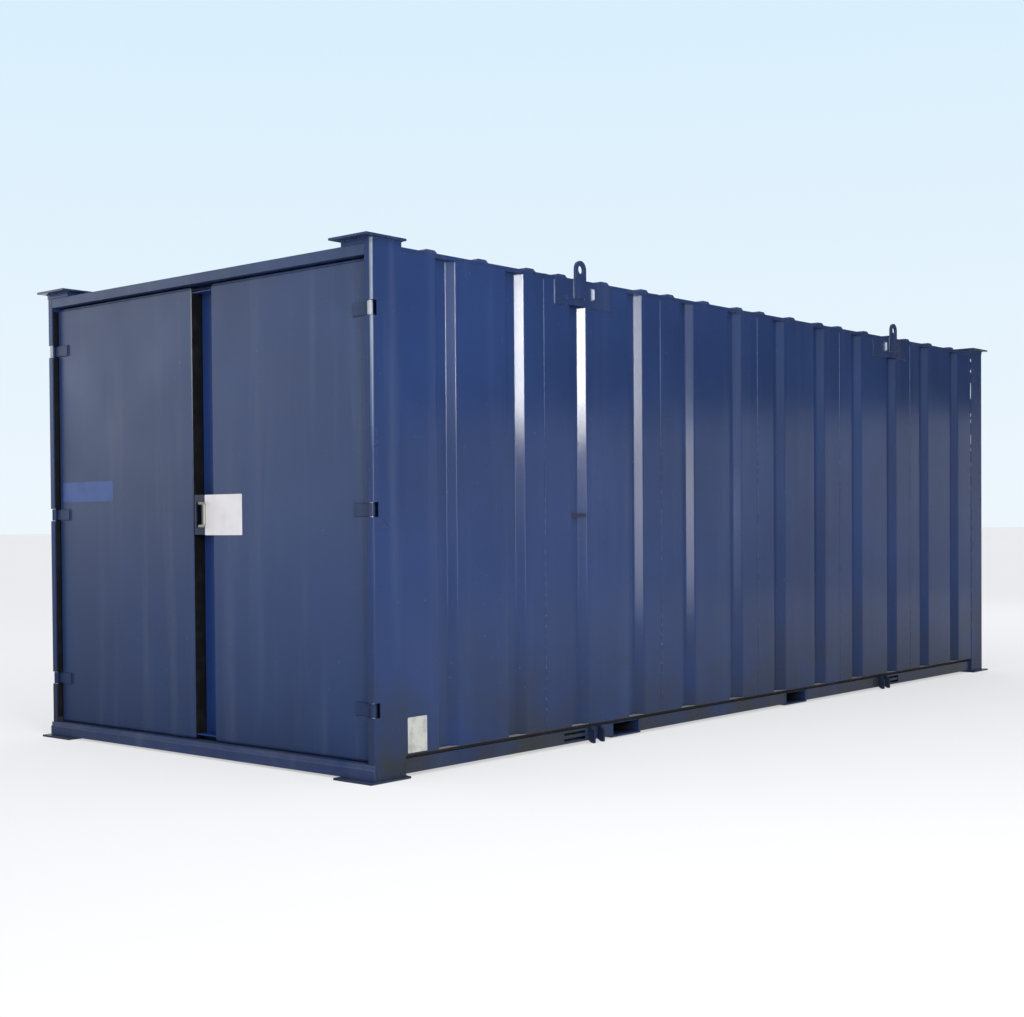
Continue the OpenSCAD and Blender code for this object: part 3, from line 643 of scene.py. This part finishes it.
bare_steel = steel("bare_steel", (0.52, 0.49, 0.44), 0.34)
handle_steel = steel("worn_handle_steel", (0.31, 0.29, 0.24), 0.40, 0.75)
plate_metal = steel("data_plate_metal", (0.47, 0.47, 0.435), 0.42, 0.35)
label_white = vinyl("blank_white_label", (0.62, 0.59, 0.59), 0.35)
label_blue = vinyl("blank_blue_vinyl", (0.016, 0.052, 0.20), 0.4)
seal_rubber = rubber("black_seal_rubber")
floor_ply = plywood("floor_plywood")
floor.data.materials.append(plain_floor("studio_floor"))
screen.data.materials.append(
    two_tones("yard_screen", (0.64, 0.64, 0.64), (0.07, 0.08, 0.08), SCREEN_BAND))
print("finishes made")

# %% [markdown]
# The solids that are right as they are stay, and get their finish here. Solids have perfectly sharp
# edges, which real plate never has, so the plain plates and tubes also get a narrow live bevel. The
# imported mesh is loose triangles, so a Weld modifier joins them first, and Decimate merges those that
# lie in one plane. The folded posts already have their bend.

# %% Dress the solids
FINISH_OF_SLOT = {
    "body_paint": frame_paint, "door_paint": door_paint, "dark_paint": dark_paint,
    "bare_steel": bare_steel, "floor_board": floor_ply,
}
PLATE_EDGE, BOARD_EDGE = 0.002, 0.0012
WELD_REACH = 0.00002
FLAT_ANGLE, EDGE_ANGLE = math.radians(0.5), math.radians(50)
EDGED = (
    "foot_plates", "stacking_plates", "stacking_blocks", "door_header", "door_sill", "left_bottom_rail",
    "right_bottom_rail", "rear_bottom_rail", "lug_spreaders", "lifting_lugs", "rail_cheeks",
    "left_hinge_straps", "right_hinge_straps", "lock_box", "lock_channel_caps", "fork_pocket_sides",
    "fork_pocket_plates", "recess_bars", "holdback_bars", "left_wall_ledge", "right_wall_ledge")


def live_edge(solid, width):
    """Welds a solid's loose triangles and rounds its edges, without touching its mesh."""
    add_modifier(solid, "WELD", merge_threshold=WELD_REACH)
    add_modifier(solid, "DECIMATE", decimate_type="DISSOLVE", angle_limit=FLAT_ANGLE)
    add_modifier(solid, "BEVEL", width=width, segments=2, limit_method="ANGLE", angle_limit=EDGE_ANGLE)
    add_modifier(solid, "WEIGHTED_NORMAL")


slot_of = {part["node"]: part["material_slot"] for part in frame["record"]["subparts"]}
for name, solid in nodes.items():
    solid.data.materials.clear()
    solid.data.materials.append(FINISH_OF_SLOT[slot_of[name]])
    if name in EDGED:
        live_edge(solid, PLATE_EDGE)
OTHER_FINISH = {
    "lock_channel": channel_paint, "lock_channel_caps": channel_paint, "roof_sheet": roof_paint,
    "front_left_post": post_paint, "front_right_post": post_paint, "rear_left_post": post_paint,
    "rear_right_post": post_paint, "stacking_blocks": post_paint, "door_sill": sill_paint,
    "left_wall_ledge": ledge_paint, "right_wall_ledge": ledge_paint, "lug_spreaders": spreader_paint,
    "fork_pocket_sides": pocket_paint, "fork_pocket_plates": pocket_paint, "lock_handle": handle_steel,
    "left_hinge_straps": hinge_paint, "right_hinge_straps": hinge_paint, "door_header": door_paint,
    "lock_box": box_paint,
}
for name, finish in OTHER_FINISH.items():
    nodes[name].data.materials[0] = finish
live_edge(nodes["floor_deck"], BOARD_EDGE)
print("solids dressed, with live edges on", len(EDGED) + 1)

# %% [markdown]
# A grooved wall is one sheet of steel bent in a press brake. Each groove has two slanted sides and
# a flat floor, and every bend has a radius, which is what catches the light. The model is folded
# like the real sheet: one upright edge is extruded along the run of folds, the sharp bends are
# bevelled, and Solidify gives the sheet its thickness.

# %% Grooved walls
GROOVE_DEPTH = 0.043
GROOVE_WIDTH = 0.156
GROOVE_PITCH = 0.555
GROOVE_END_FLAT = 0.120
SHEET = 0.002
BEND = 0.007
SHARP_BEND = 20
MERGE = 0.0001


def groove_places(length):
    """Middles of the grooves along a wall, from its middle."""
    count = int((length - GROOVE_WIDTH - 2 * GROOVE_END_FLAT) / GROOVE_PITCH) + 1
    return [(i - (count - 1) / 2) * GROOVE_PITCH for i in range(count)]


def groove_corners(length):
    """The outer face of a wall as (place, depth) corners."""
    corners = [(-length / 2, 0)]
    for middle in groove_places(length):
        mouth, foot = GROOVE_WIDTH / 2, GROOVE_WIDTH / 2 - GROOVE_DEPTH
        corners += [(middle - mouth, 0), (middle - foot, GROOVE_DEPTH)]
        corners += [(middle + foot, GROOVE_DEPTH), (middle + mouth, 0)]
    return corners + [(length / 2, 0)]


def folded_sheet(name, corners, outward, thickness):
    """Extrudes an upright edge through a run of corners, each its low and its high point."""
    low, high = corners[0]
    fresh()
    bpy.ops.mesh.primitive_plane_add(size=1)
    sheet = bpy.context.object
    sheet.name = name
    net = edit(sheet, "VERT")
    for corner in net.verts:
        corner.select = corner.co.x > 0
    bmesh.update_edit_mesh(sheet.data)
    bpy.ops.mesh.delete(type="VERT")
    net = bmesh.from_edit_mesh(sheet.data)
    net.verts.ensure_lookup_table()
    net.verts[0].co, net.verts[1].co = low, high
    bpy.ops.mesh.select_all(action="SELECT")
    for (now, _), (then, _) in zip(corners, corners[1:]):
        bpy.ops.mesh.extrude_region_move(TRANSFORM_OT_translate={"value": then - now})
    bpy.ops.mesh.select_all(action="SELECT")
    net = bmesh.from_edit_mesh(sheet.data)
    net.normal_update()
    net.faces.ensure_lookup_table()
    if net.faces[0].normal.dot(outward) < 0:
        bpy.ops.mesh.flip_normals()
    bpy.ops.mesh.select_mode(type="EDGE")
    bpy.ops.mesh.select_all(action="DESELECT")
    bpy.ops.mesh.edges_select_sharp(sharpness=math.radians(SHARP_BEND))
    bpy.ops.mesh.bevel(offset=BEND, segments=4, affect="EDGES")
    bpy.ops.mesh.select_all(action="SELECT")
    bpy.ops.mesh.remove_doubles(threshold=MERGE)
    bpy.ops.object.mode_set(mode="OBJECT")
    return sheet_metal(sheet, thickness)


def grooved_wall(side, outward):
    """Replaces a wall by a folded sheet. Outward is the way that its outer face looks."""
    node = side + "_wall"
    low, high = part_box(node)
    outward = Vector(outward)
    run = Vector((abs(outward.y), abs(outward.x), 0))
    face = max(low.dot(outward), high.dot(outward))
    corners = []
    for place, depth in groove_corners((high - low).dot(run)):
        point = outward * (face - depth) + run * place
        corners.append((point + Vector((0, 0, low.z)), point + Vector((0, 0, high.z))))
    wall = folded_sheet("grooved_wall_" + side, corners, outward, SHEET)
    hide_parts(node)
    return hand_over(wall, "container", body_paint)


grooved_wall("right", (1, 0, 0))
grooved_wall("left", (-1, 0, 0))
grooved_wall("rear", (0, 1, 0))
wall_low, wall_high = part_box("right_wall")
print("walls:", len(groove_places(wall_high.y - wall_low.y)), "grooves a side")

# %% [markdown]
# A door leaf is a tray: a flat skin whose edges are folded back and then folded in again. The back
# face of a block is inset by the width of the flange, the middle is deleted to open the tray, the
# folds are rounded, and Solidify turns the shell into sheet steel. A flat strip along the top and one
# along the bottom narrow the gaps to the header and the sill, which keeps the rain out.

# %% Door leaves
LEAF_SHEET = 0.003
LEAF_BEND = 0.006
LEAF_FLANGE = 0.040
RIGHT_FOLD = 60
STRIP_LAP = 0.002
STRIP_TOP = 0.009
STRIP_BOTTOM = 0.004


def door_leaf(side, finish):
    """A folded door leaf with rounded edges, open at the back."""
    node = side + "_door_panel"
    leaf = block(side + "_leaf", *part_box(node))
    pick_faces(leaf, (0, 1, 0))
    bpy.ops.mesh.inset(thickness=LEAF_FLANGE)
    bpy.ops.mesh.delete(type="FACE")

    def folded(edge):
        return len(edge.link_faces) == 2 and edge.calc_face_angle() > math.radians(RIGHT_FOLD)

    round_edges(leaf, folded, LEAF_BEND, 4)
    sheet_metal(leaf, LEAF_SHEET)
    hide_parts(node)
    return hand_over(leaf, side + "_door", finish)


def edge_strips(side):
    """Two flat strips behind the skin of a leaf that stand out past its top and its bottom."""
    low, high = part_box(side + "_door_panel")
    front, back = low.y + LEAF_BEND, low.y + LEAF_BEND + LEAF_SHEET
    pair = []
    heights = ((high.z - STRIP_LAP, high.z + STRIP_TOP), (low.z - STRIP_BOTTOM, low.z + STRIP_LAP))
    for z0, z1 in heights:
        strip = block("strip", (low.x + LEAF_BEND, front, z0), (high.x - LEAF_BEND, back, z1))
        pair.append(round_edges(strip, along(0), LEAF_SHEET / 4, 2))
    return hand_over(joined(side + "_leaf_strips", pair), side + "_door", door_paint)


# The left leaf has a pale painted highlight along its free edge.
door_leaf("left", leaf_paint)
door_leaf("right", door_paint)
edge_strips("left")
edge_strips("right")
print("door leaves made")

# %% [markdown]
# Rubber closes the gaps. A thick black strip runs up the free edge of the left door, and is the dark
# band that shows beside the lock channel. Flat strips on the door stops meet the backs of the
# leaves. Each has two shallow ribs, made by insetting its face and pushing it in. Thin black strips
# also line the posts beside the doors, between the notches that the hinges sit in. They close no gap:
# they are painted shade, a black sheet that stands for the shade on the narrow faces beside the doors.

# %% Door seals
SEAL_GAP = 0.001
SEAL_RIB, SILL_RIB = 0.008, 0.004
SEAL_EDGE = 0.0009
SEAL_HOLLOW = 0.0015
SEAL_WIDE = 0.036
SEAL_END = 0.002
MEETING_FRONT, MEETING_BACK = 0.003, 0.002
MEETING_THICK, MEETING_END = 0.004, 0.004


def rubber_strip(name, low, high, rib=SEAL_RIB, facing=(0, -1, 0), body="container"):
    """A strip with a hollow pressed into the face that points along facing."""
    strip = block(name, low, high)
    round_edges(strip, every, SEAL_EDGE, 2)
    pick_faces(strip, facing)
    bpy.ops.mesh.inset(thickness=rib)
    bpy.ops.transform.translate(value=Vector(facing) * -SEAL_HOLLOW)
    done(strip)
    return hand_over(strip, body, seal_rubber)


left_low, left_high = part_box("left_door_panel")
stop_low, stop_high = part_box("door_stops")
sill_low, sill_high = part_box("door_sill")
header_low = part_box("door_header")[0]
leaf_back = left_high.y
rubber_strip("meeting_seal", (left_high.x, left_low.y + MEETING_FRONT, left_low.z + MEETING_END),
             (left_high.x + MEETING_THICK, leaf_back - MEETING_BACK, left_high.z - MEETING_END),
             facing=(1, 0, 0), body="left_door")
seal_front, seal_back = leaf_back + SEAL_GAP, stop_low.y
for side, x in (("left", stop_low.x), ("right", stop_high.x - SEAL_WIDE)):
    rubber_strip("jamb_seal_" + side, (x, seal_front, stop_low.z), (x + SEAL_WIDE, seal_back, stop_high.z))
rubber_strip("header_seal", (stop_low.x, seal_front, header_low.z + SEAL_END),
             (stop_high.x, seal_back, header_low.z + SEAL_WIDE))
rubber_strip("sill_seal", (stop_low.x, seal_front, left_low.z + SEAL_END),
             (stop_high.x, seal_back, sill_high.z - SEAL_GAP), SILL_RIB)

HINGE_PITCH = 0.970
NOTCH_HALF = 0.036
STRIP_THICK = 0.0015
STRIP_FRONT, STRIP_BACK = 0.008, 0.030
STRIP_START, STRIP_END = 0.002, 0.001

strap_low, strap_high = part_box("right_hinge_straps")
strap_middle = (strap_low.z + strap_high.z) / 2
hinge_heights = [strap_middle + i * HINGE_PITCH for i in (-1, 0, 1)]
post_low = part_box("front_right_post")[0]
ends = [sill_high.z + STRIP_START]
for height in hinge_heights:
    ends += [height - NOTCH_HALF, height + NOTCH_HALF]
ends.append(left_high.z)
strips = []
for z0, z1 in zip(ends[::2], ends[1::2]):
    piece = block("strip", (post_low.x - STRIP_THICK, post_low.y + STRIP_FRONT, z0 + STRIP_END),
                  (post_low.x, leaf_back - STRIP_BACK, z1 - STRIP_END))
    strips.append(round_edges(piece, every, STRIP_THICK / 3, 2))
# The black jamb strips are painted shade on the posts' faces beside the doors.
hand_over(with_mirror(joined("jamb_strips", strips)), "container", seal_rubber)
print("seals made, and", len(strips), "strips a post")

# %% [markdown]
# The lower part of the sill is covered by a flat bar. Its upper edge is chamfered, and the chamfer is
# paler, with dust and painted top light on it, so it shows as a pale line under the doors.

# %% Sill step
TREAD_TOP = 0.066
TREAD_OUT = 0.006
TREAD_CHAMFER = 0.0055
NEARLY = 0.001

tread = block("sill_step", (sill_low.x, sill_low.y - TREAD_OUT, sill_low.z),
              (sill_high.x, sill_low.y, TREAD_TOP))


def upper_front_edge(edge):
    """A test for the upper front edge of the bar."""
    return all(end.co.z > TREAD_TOP - NEARLY and end.co.y < sill_low.y - NEARLY for end in edge.verts)


round_edges(tread, upper_front_edge, TREAD_CHAMFER, 1)
hand_over(tread, "container", step_paint)
print("sill step:", len(tread.data.polygons), "faces")

# %% [markdown]
# Where two wall sheets lap, the edge of the upper one makes a low upright step, whose paler paint in
# the upper half is a painted highlight. Stitch welds hold it, and they show as a row of small bright
# dashes, their pale colour a painted glint. One bead is a squashed sphere, half sunk in the sheet.
# An Array repeats it up the wall, and a random nudge of its corners takes away the machine-made look.

# %% Stitch welds on the walls
SEAM_FIRST, SEAM_PITCH, SEAM_COUNT = 1.127, 1.127, 5
BEAD = (0.0034, 0.0052, 0.026)
BEAD_PITCH = 0.057
BEAD_START, BEAD_MARGIN = 0.06, 0.10
BEAD_NUDGE = 0.16
BEAD_SMOOTH = 60
STEP_RISE, STEP_HALF = 0.0014, 0.0024
STEP_END = 0.01


def bead_run(name, start, step, count, size, seed):
    """A row of weld beads, each an uneven low lump."""
    beads = repeated(lump(name, start, size, 8), count, step)
    edit(beads, "VERT")
    bpy.ops.mesh.select_all(action="SELECT")
    bpy.ops.transform.vertex_random(offset=min(size) * BEAD_NUDGE, uniform=1.0, seed=seed)
    return done(beads, BEAD_SMOOTH)


bead_count = int((wall_high.z - wall_low.z - BEAD_MARGIN) / BEAD_PITCH)
runs, laps = [], []
for i in range(SEAM_COUNT):
    seam_y = wall_low.y + SEAM_FIRST + i * SEAM_PITCH
    start = (wall_high.x, seam_y, wall_low.z + BEAD_START)
    runs.append(bead_run("seam", start, (0, 0, BEAD_PITCH), bead_count, BEAD, i))
    lap = block("lap", (wall_high.x - STEP_RISE, seam_y - STEP_HALF, wall_low.z + STEP_END),
                (wall_high.x + STEP_RISE, seam_y + STEP_HALF, wall_high.z - STEP_END))
    laps.append(round_edges(lap, along(2), STEP_RISE / 2, 2))
right_seams = joined("seam_welds_right", runs)
left_seams = mirror_of(right_seams, 0)
left_seams.name = "seam_welds_left"
for seams in (right_seams, left_seams):
    # The pale colour of the beads is a painted glint.
    hand_over(seams, "container", bead_paint)
# The laps' paler upper half is a painted highlight.
hand_over(with_mirror(joined("seam_laps", laps)), "container", seam_paint)
print("seam welds:", len(right_seams.data.polygons), "faces a side")

# %% [markdown]
# The walls meet the rear posts in a row of hand-made stitches. They are wider, of all lengths, and
# the upper ones carry a pale painted glint. A stitch is given by its middle height and its length.

# %% Rear corner stitches
STITCH_THICK, STITCH_WIDE = 0.006, 0.015
STITCH_INSET = 0.004
STITCH_SEED = 80
REAR_STITCHES = (
    (2.540, 0.026), (2.450, 0.026), (2.290, 0.140), (2.095, 0.032), (2.045, 0.030), (1.895, 0.090),
    (1.815, 0.030), (1.690, 0.042), (1.610, 0.030), (1.480, 0.100), (1.350, 0.034), (1.215, 0.052),
    (1.100, 0.030), (0.950, 0.080), (0.800, 0.030), (0.675, 0.050), (0.520, 0.034), (0.380, 0.082),
    (0.240, 0.030))

runs = []
for i, (middle, length) in enumerate(REAR_STITCHES):
    start = (wall_high.x, wall_high.y - STITCH_INSET, middle)
    size = (STITCH_THICK, STITCH_WIDE, length)
    runs.append(bead_run("stitch", start, (0, 0, 0), 1, size, STITCH_SEED + i))
hand_over(with_mirror(joined("rear_stitches", runs)), "container", stitch_paint)
print("rear stitches:", len(REAR_STITCHES), "a side")

# %% [markdown]
# The thick plates are joined by fillet welds, whose lumps touch each other. The lifting eyes and the
# short ribs beside them are welded to their spreaders, the spreaders to the flat strips of the wall,
# the stacking blocks to their plates, and the posts to their feet. The upright welds at the eyes are
# pale, a painted glint, so they are an object of their own.

# %% Fillet welds
FILLET, FILLET_LONG, FILLET_STEP = 0.007, 0.015, 0.011
FILLET_SINK = 0.001
EYE_HALF, EYE_THICK, EYE_WELD = 0.050, 0.015, 0.098
RIB_OFFSET, RIB_HALF, RIB_HIGH = 0.120, 0.007, 0.057
SPREAD_LONG, SPREAD_END, SPREAD_RISE = 0.529, 0.120, 0.002
BLOCK_WIDE, BLOCK_LONG = 0.205, 0.215
FOLD_RADIUS = 0.014


def fillet(start, end, seed):
    """Touching beads along one axis, from one point to another."""
    start, end = Vector(start), Vector(end)
    run = end - start
    count = max(2, round(run.length / FILLET_STEP))
    size = [FILLET_LONG if abs(part) > 0.5 else FILLET for part in run.normalized()]
    return bead_run("fillet", start, run / (count - 1), count, size, seed)


def upright(x, y, z, height, seed):
    """A fillet that runs up from a point."""
    return fillet((x, y, z), (x, y, z + height), seed)


def four_corners(name, runs):
    """Joins the welds of the front right corner and mirrors them to the other three."""
    return with_mirror(with_mirror(joined(name, runs), 0), 1)


eye_low, eye_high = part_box("lifting_lugs")
eye_y = eye_low.y + EYE_HALF
eye_foot = eye_high.x - EYE_THICK + FILLET_SINK
rib_y = eye_y + RIB_OFFSET
spread_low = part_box("lug_spreaders")[0]
face, low_edge = wall_high.x + SPREAD_RISE, spread_low.z
near, far = spread_low.y, spread_low.y + SPREAD_LONG
runs = []
for side in (-1, 1):
    runs.append(upright(eye_foot, eye_y + side * EYE_HALF, eye_low.z, EYE_WELD, 31 + side))
for side in (-1, 1):
    runs.append(upright(eye_foot, rib_y + side * RIB_HALF, eye_low.z, RIB_HIGH, 46 + side))
runs.append(upright(face, near, low_edge, SPREAD_END, 38))
hand_over(four_corners("eye_welds", runs), "container", bead_paint)

runs = [fillet((eye_foot, eye_y - EYE_HALF, eye_low.z), (eye_foot, eye_y + EYE_HALF, eye_low.z), 34)]
for i, (y0, y1) in enumerate(((near, eye_y - GROOVE_WIDTH / 2), (eye_y + GROOVE_WIDTH / 2, far))):
    runs.append(fillet((face, y0, low_edge), (face, y1, low_edge), 36 + i))
runs.append(upright(face, far, low_edge, SPREAD_END, 39))
block_low, block_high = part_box("stacking_blocks")
inner_x, inner_y = block_high.x - BLOCK_WIDE, block_low.y + BLOCK_LONG
under_plate, on_foot = block_high.z - FILLET_SINK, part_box("foot_plates")[1].z + FILLET_SINK
front, outer_x = block_low.y, block_high.x
runs.append(fillet((inner_x, front, under_plate), (outer_x, front, under_plate), 42))
runs.append(fillet((outer_x, front, under_plate), (outer_x, inner_y, under_plate), 43))
runs.append(fillet((inner_x, front, under_plate), (inner_x, inner_y, under_plate), 44))
runs.append(fillet((outer_x, front + FOLD_RADIUS, on_foot), (outer_x, inner_y, on_foot), 45))
corner_welds = four_corners("corner_welds", runs)
hand_over(corner_welds, "container", frame_paint)
print("corner welds:", len(corner_welds.data.polygons), "faces")

# %% [markdown]
# Each hinge strap lies flat on its door and is welded round three sides. The welds ride on the doors.

# %% Hinge strap welds
STRAP_HALF = 0.030
EDGE_BEND = 0.008

leaf_low, leaf_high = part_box("right_door_panel")
skin_y = leaf_low.y
runs = []
for i, height in zip((-1, 0, 1), hinge_heights):
    low_z = height - STRAP_HALF
    for j, z in enumerate((low_z, low_z + 2 * STRAP_HALF)):
        start, end = (strap_low.x, skin_y, z), (leaf_high.x - EDGE_BEND, skin_y, z)
        runs.append(fillet(start, end, 50 + 3 * i + j))
    runs.append(upright(strap_low.x, skin_y, low_z, 2 * STRAP_HALF, 60 + i))
right_straps = joined("strap_welds_right", runs)
left_straps = mirror_of(right_straps, 0)
left_straps.name = "strap_welds_left"
hand_over(right_straps, "right_door", door_paint)
hand_over(left_straps, "left_door", door_paint)
print("strap welds:", len(right_straps.data.polygons), "faces a door")

# %% [markdown]
# The roof is made of several sheets that lap between two ribs. A lap shows as a low step with a row of
# stitch welds along it.

# %% Roof laps
LAP_FIRST, LAP_PITCH, LAP_COUNT = -2.231, 1.074, 5
LAP_HALF = 0.018
LAP_INSET = 0.004
LAP_EDGE = 0.0008
LAP_STITCH = 0.09
ROOF_BEAD = (0.026, 0.006, 0.004)
ROOF_BEAD_LIFT = 0.0006

roof_low, roof_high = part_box("roof_sheet")
roof_flat = roof_low.z + SHEET
lap_end = roof_high.x - LAP_INSET
stitch_count = int(2 * lap_end / LAP_STITCH)
steps, stitches = [], []
for i in range(LAP_COUNT):
    y = LAP_FIRST + i * LAP_PITCH
    step = block("lap", (-lap_end, y - LAP_HALF, roof_flat), (lap_end, y + LAP_HALF, roof_flat + SHEET))
    steps.append(round_edges(step, along(0), LAP_EDGE, 2))
    start = (-lap_end + LAP_STITCH / 2, y + LAP_HALF, roof_flat + ROOF_BEAD_LIFT)
    stitches.append(bead_run("stitch", start, (LAP_STITCH, 0, 0), stitch_count, ROOF_BEAD, 70 + i))
hand_over(joined("roof_lap_steps", steps), "container", roof_paint)
hand_over(joined("roof_lap_stitches", stitches), "container", bead_paint)
print("roof laps:", LAP_COUNT)

# %% [markdown]
# The floor boards are screwed to the bearers under them, with two rows of screws where two boards
# meet. One countersunk head is modelled: a short cylinder whose top is inset twice, once for the rim
# and once for the socket, which is pushed in. The bearers stand in three groups, between the ends and
# the two fork pockets, and the boards meet over every second one.

# %% Floor screws
RAIL_SPANS = ((-3.380, -1.6275), (-1.3325, 0.3725), (0.6675, 3.380))
BEARER_PITCH = 0.600
SCREW_PITCH, SCREWS_A_ROW = 0.300, 9
JOINT_ROW = 0.013
SCREW_RADIUS, SCREW_HIGH, SCREW_SINK = 0.0055, 0.002, 0.0006
SCREW_RIM, SOCKET_INSET, SOCKET_DEEP = 0.0012, 0.0016, 0.0012


def bearer_places():
    """Middles of the floor bearers, spread evenly over each length of the bottom rail."""
    places = []
    for low, high in RAIL_SPANS:
        count = round((high - low) / BEARER_PITCH)
        places += [low + (i + 0.5) * (high - low) / count for i in range(count)]
    return places


def floor_screw(place):
    """One countersunk screw head with a hollow socket."""
    fresh()
    bpy.ops.mesh.primitive_cylinder_add(vertices=12, radius=SCREW_RADIUS, depth=SCREW_HIGH, location=place)
    screw = bpy.context.object
    apply_place()
    pick_faces(screw, (0, 0, 1))
    bpy.ops.mesh.inset(thickness=SCREW_RIM)
    bpy.ops.mesh.inset(thickness=SOCKET_INSET)
    bpy.ops.transform.translate(value=(0, 0, -SOCKET_DEEP))
    return done(screw)


deck_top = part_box("floor_deck")[1].z
bearers = bearer_places()
rows = []
for i, y in enumerate(bearers):
    meets = i % 2 == 1 and i < len(bearers) - 1
    for offset in ((-JOINT_ROW, JOINT_ROW) if meets else (0,)):
        first = (-(SCREWS_A_ROW - 1) / 2 * SCREW_PITCH, y + offset, deck_top - SCREW_SINK)
        rows.append(repeated(floor_screw(first), SCREWS_A_ROW, (SCREW_PITCH, 0, 0)))
hand_over(joined("floor_screws", rows), "container", bare_steel)
print("floor screws:", len(rows) * SCREWS_A_ROW)

# %% [markdown]
# The key pocket in the lock box opens on a plain lock: a steel plate with round ends on the back of
# the channel, and the round end of a lock cylinder with a slot for the key.

# %% Lock in the key pocket
POCKET_X, POCKET_Z = -0.004, 1.308
LOCK_HALF_WIDE, LOCK_HALF_HIGH, LOCK_THICK, LOCK_ROUND = 0.014, 0.046, 0.002, 0.013
LOCK_DROP = 0.018
BARREL_RADIUS, BARREL_LONG, BARREL_OUT = 0.0085, 0.003, 0.0033
BARREL_RIM, RIM_DEEP = 0.0015, 0.0006
SLOT_INSET, SLOT_DEEP, SLOT_SHAPE = 0.0020, 0.0018, (0.35, 1, 1.25)

channel_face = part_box("lock_channel")[0].y
plate = block("lock_escutcheon",
              (POCKET_X - LOCK_HALF_WIDE, channel_face - LOCK_THICK, POCKET_Z - LOCK_HALF_HIGH),
              (POCKET_X + LOCK_HALF_WIDE, channel_face, POCKET_Z + LOCK_HALF_HIGH))
round_edges(plate, along(1), LOCK_ROUND, 8)
fresh()
keyway = Vector((POCKET_X, channel_face, POCKET_Z - LOCK_DROP))
bpy.ops.mesh.primitive_cylinder_add(vertices=32, radius=BARREL_RADIUS, depth=BARREL_LONG,
                                    rotation=(math.pi / 2, 0, 0),
                                    location=keyway - Vector((0, BARREL_OUT, 0)))
barrel = bpy.context.object
apply_place()
pick_faces(barrel, (0, -1, 0))
bpy.ops.mesh.inset(thickness=BARREL_RIM)
bpy.ops.transform.translate(value=(0, RIM_DEEP, 0))
bpy.ops.mesh.inset(thickness=SLOT_INSET)
bpy.ops.transform.resize(value=SLOT_SHAPE, center_override=keyway)
bpy.ops.transform.translate(value=(0, SLOT_DEEP, 0))
done(barrel)
lock = joined("lock_escutcheon", [plate, barrel])
hand_over(lock, "right_door", bare_steel)
print("lock:", len(lock.data.polygons), "faces")

# %% [markdown]
# Two blank plates sit on the doors: a white sheet beside the lock, and a blue strip on the left
# door. A small metal plate is riveted low on the right wall.

# %% Blank labels and the wall plate
LABEL_LOW, LABEL_HIGH, LABEL_THICK, LABEL_CORNER = (0.048, 1.198), (0.350, 1.415), 0.0012, 0.006
VINYL_LOW, VINYL_HIGH, VINYL_THICK, VINYL_CORNER = (-1.260, 1.395), (-0.770, 1.510), 0.0004, 0.004
PLATE_LOW, PLATE_HIGH, PLATE_THICK, PLATE_CORNER = (-3.362, 0.120), (-3.222, 0.296), 0.0012, 0.005
RIVET, RIVET_INSET, RIVET_LIFT = (0.00315, 0.007, 0.007), 0.010, 0.0008


def door_sheet(name, low, high, thick, corner):
    """A thin sheet with round corners on the skin of a door, between two (x, z) corners."""
    sheet = block(name, (low[0], skin_y - thick, low[1]), (high[0], skin_y, high[1]))
    return round_edges(sheet, along(1), corner, 5)


label = door_sheet("white_door_label", LABEL_LOW, LABEL_HIGH, LABEL_THICK, LABEL_CORNER)
hand_over(label, "right_door", label_white)
strip = door_sheet("blue_door_vinyl", VINYL_LOW, VINYL_HIGH, VINYL_THICK, VINYL_CORNER)
hand_over(strip, "left_door", label_blue)

plate = block("wall_plate", (wall_high.x, PLATE_LOW[0], PLATE_LOW[1]),
              (wall_high.x + PLATE_THICK, PLATE_HIGH[0], PLATE_HIGH[1]))
pieces = [round_edges(plate, along(0), PLATE_CORNER, 5)]
for y in (PLATE_LOW[0] + RIVET_INSET, PLATE_HIGH[0] - RIVET_INSET):
    for z in (PLATE_LOW[1] + RIVET_INSET, PLATE_HIGH[1] - RIVET_INSET):
        pieces.append(lump("rivet", (wall_high.x + RIVET_LIFT, y, z), RIVET, 12))
        bpy.ops.object.shade_smooth()
hand_over(joined("wall_plate", pieces), "container", plate_metal)
print("plates made, with", len(pieces) - 1, "rivets")
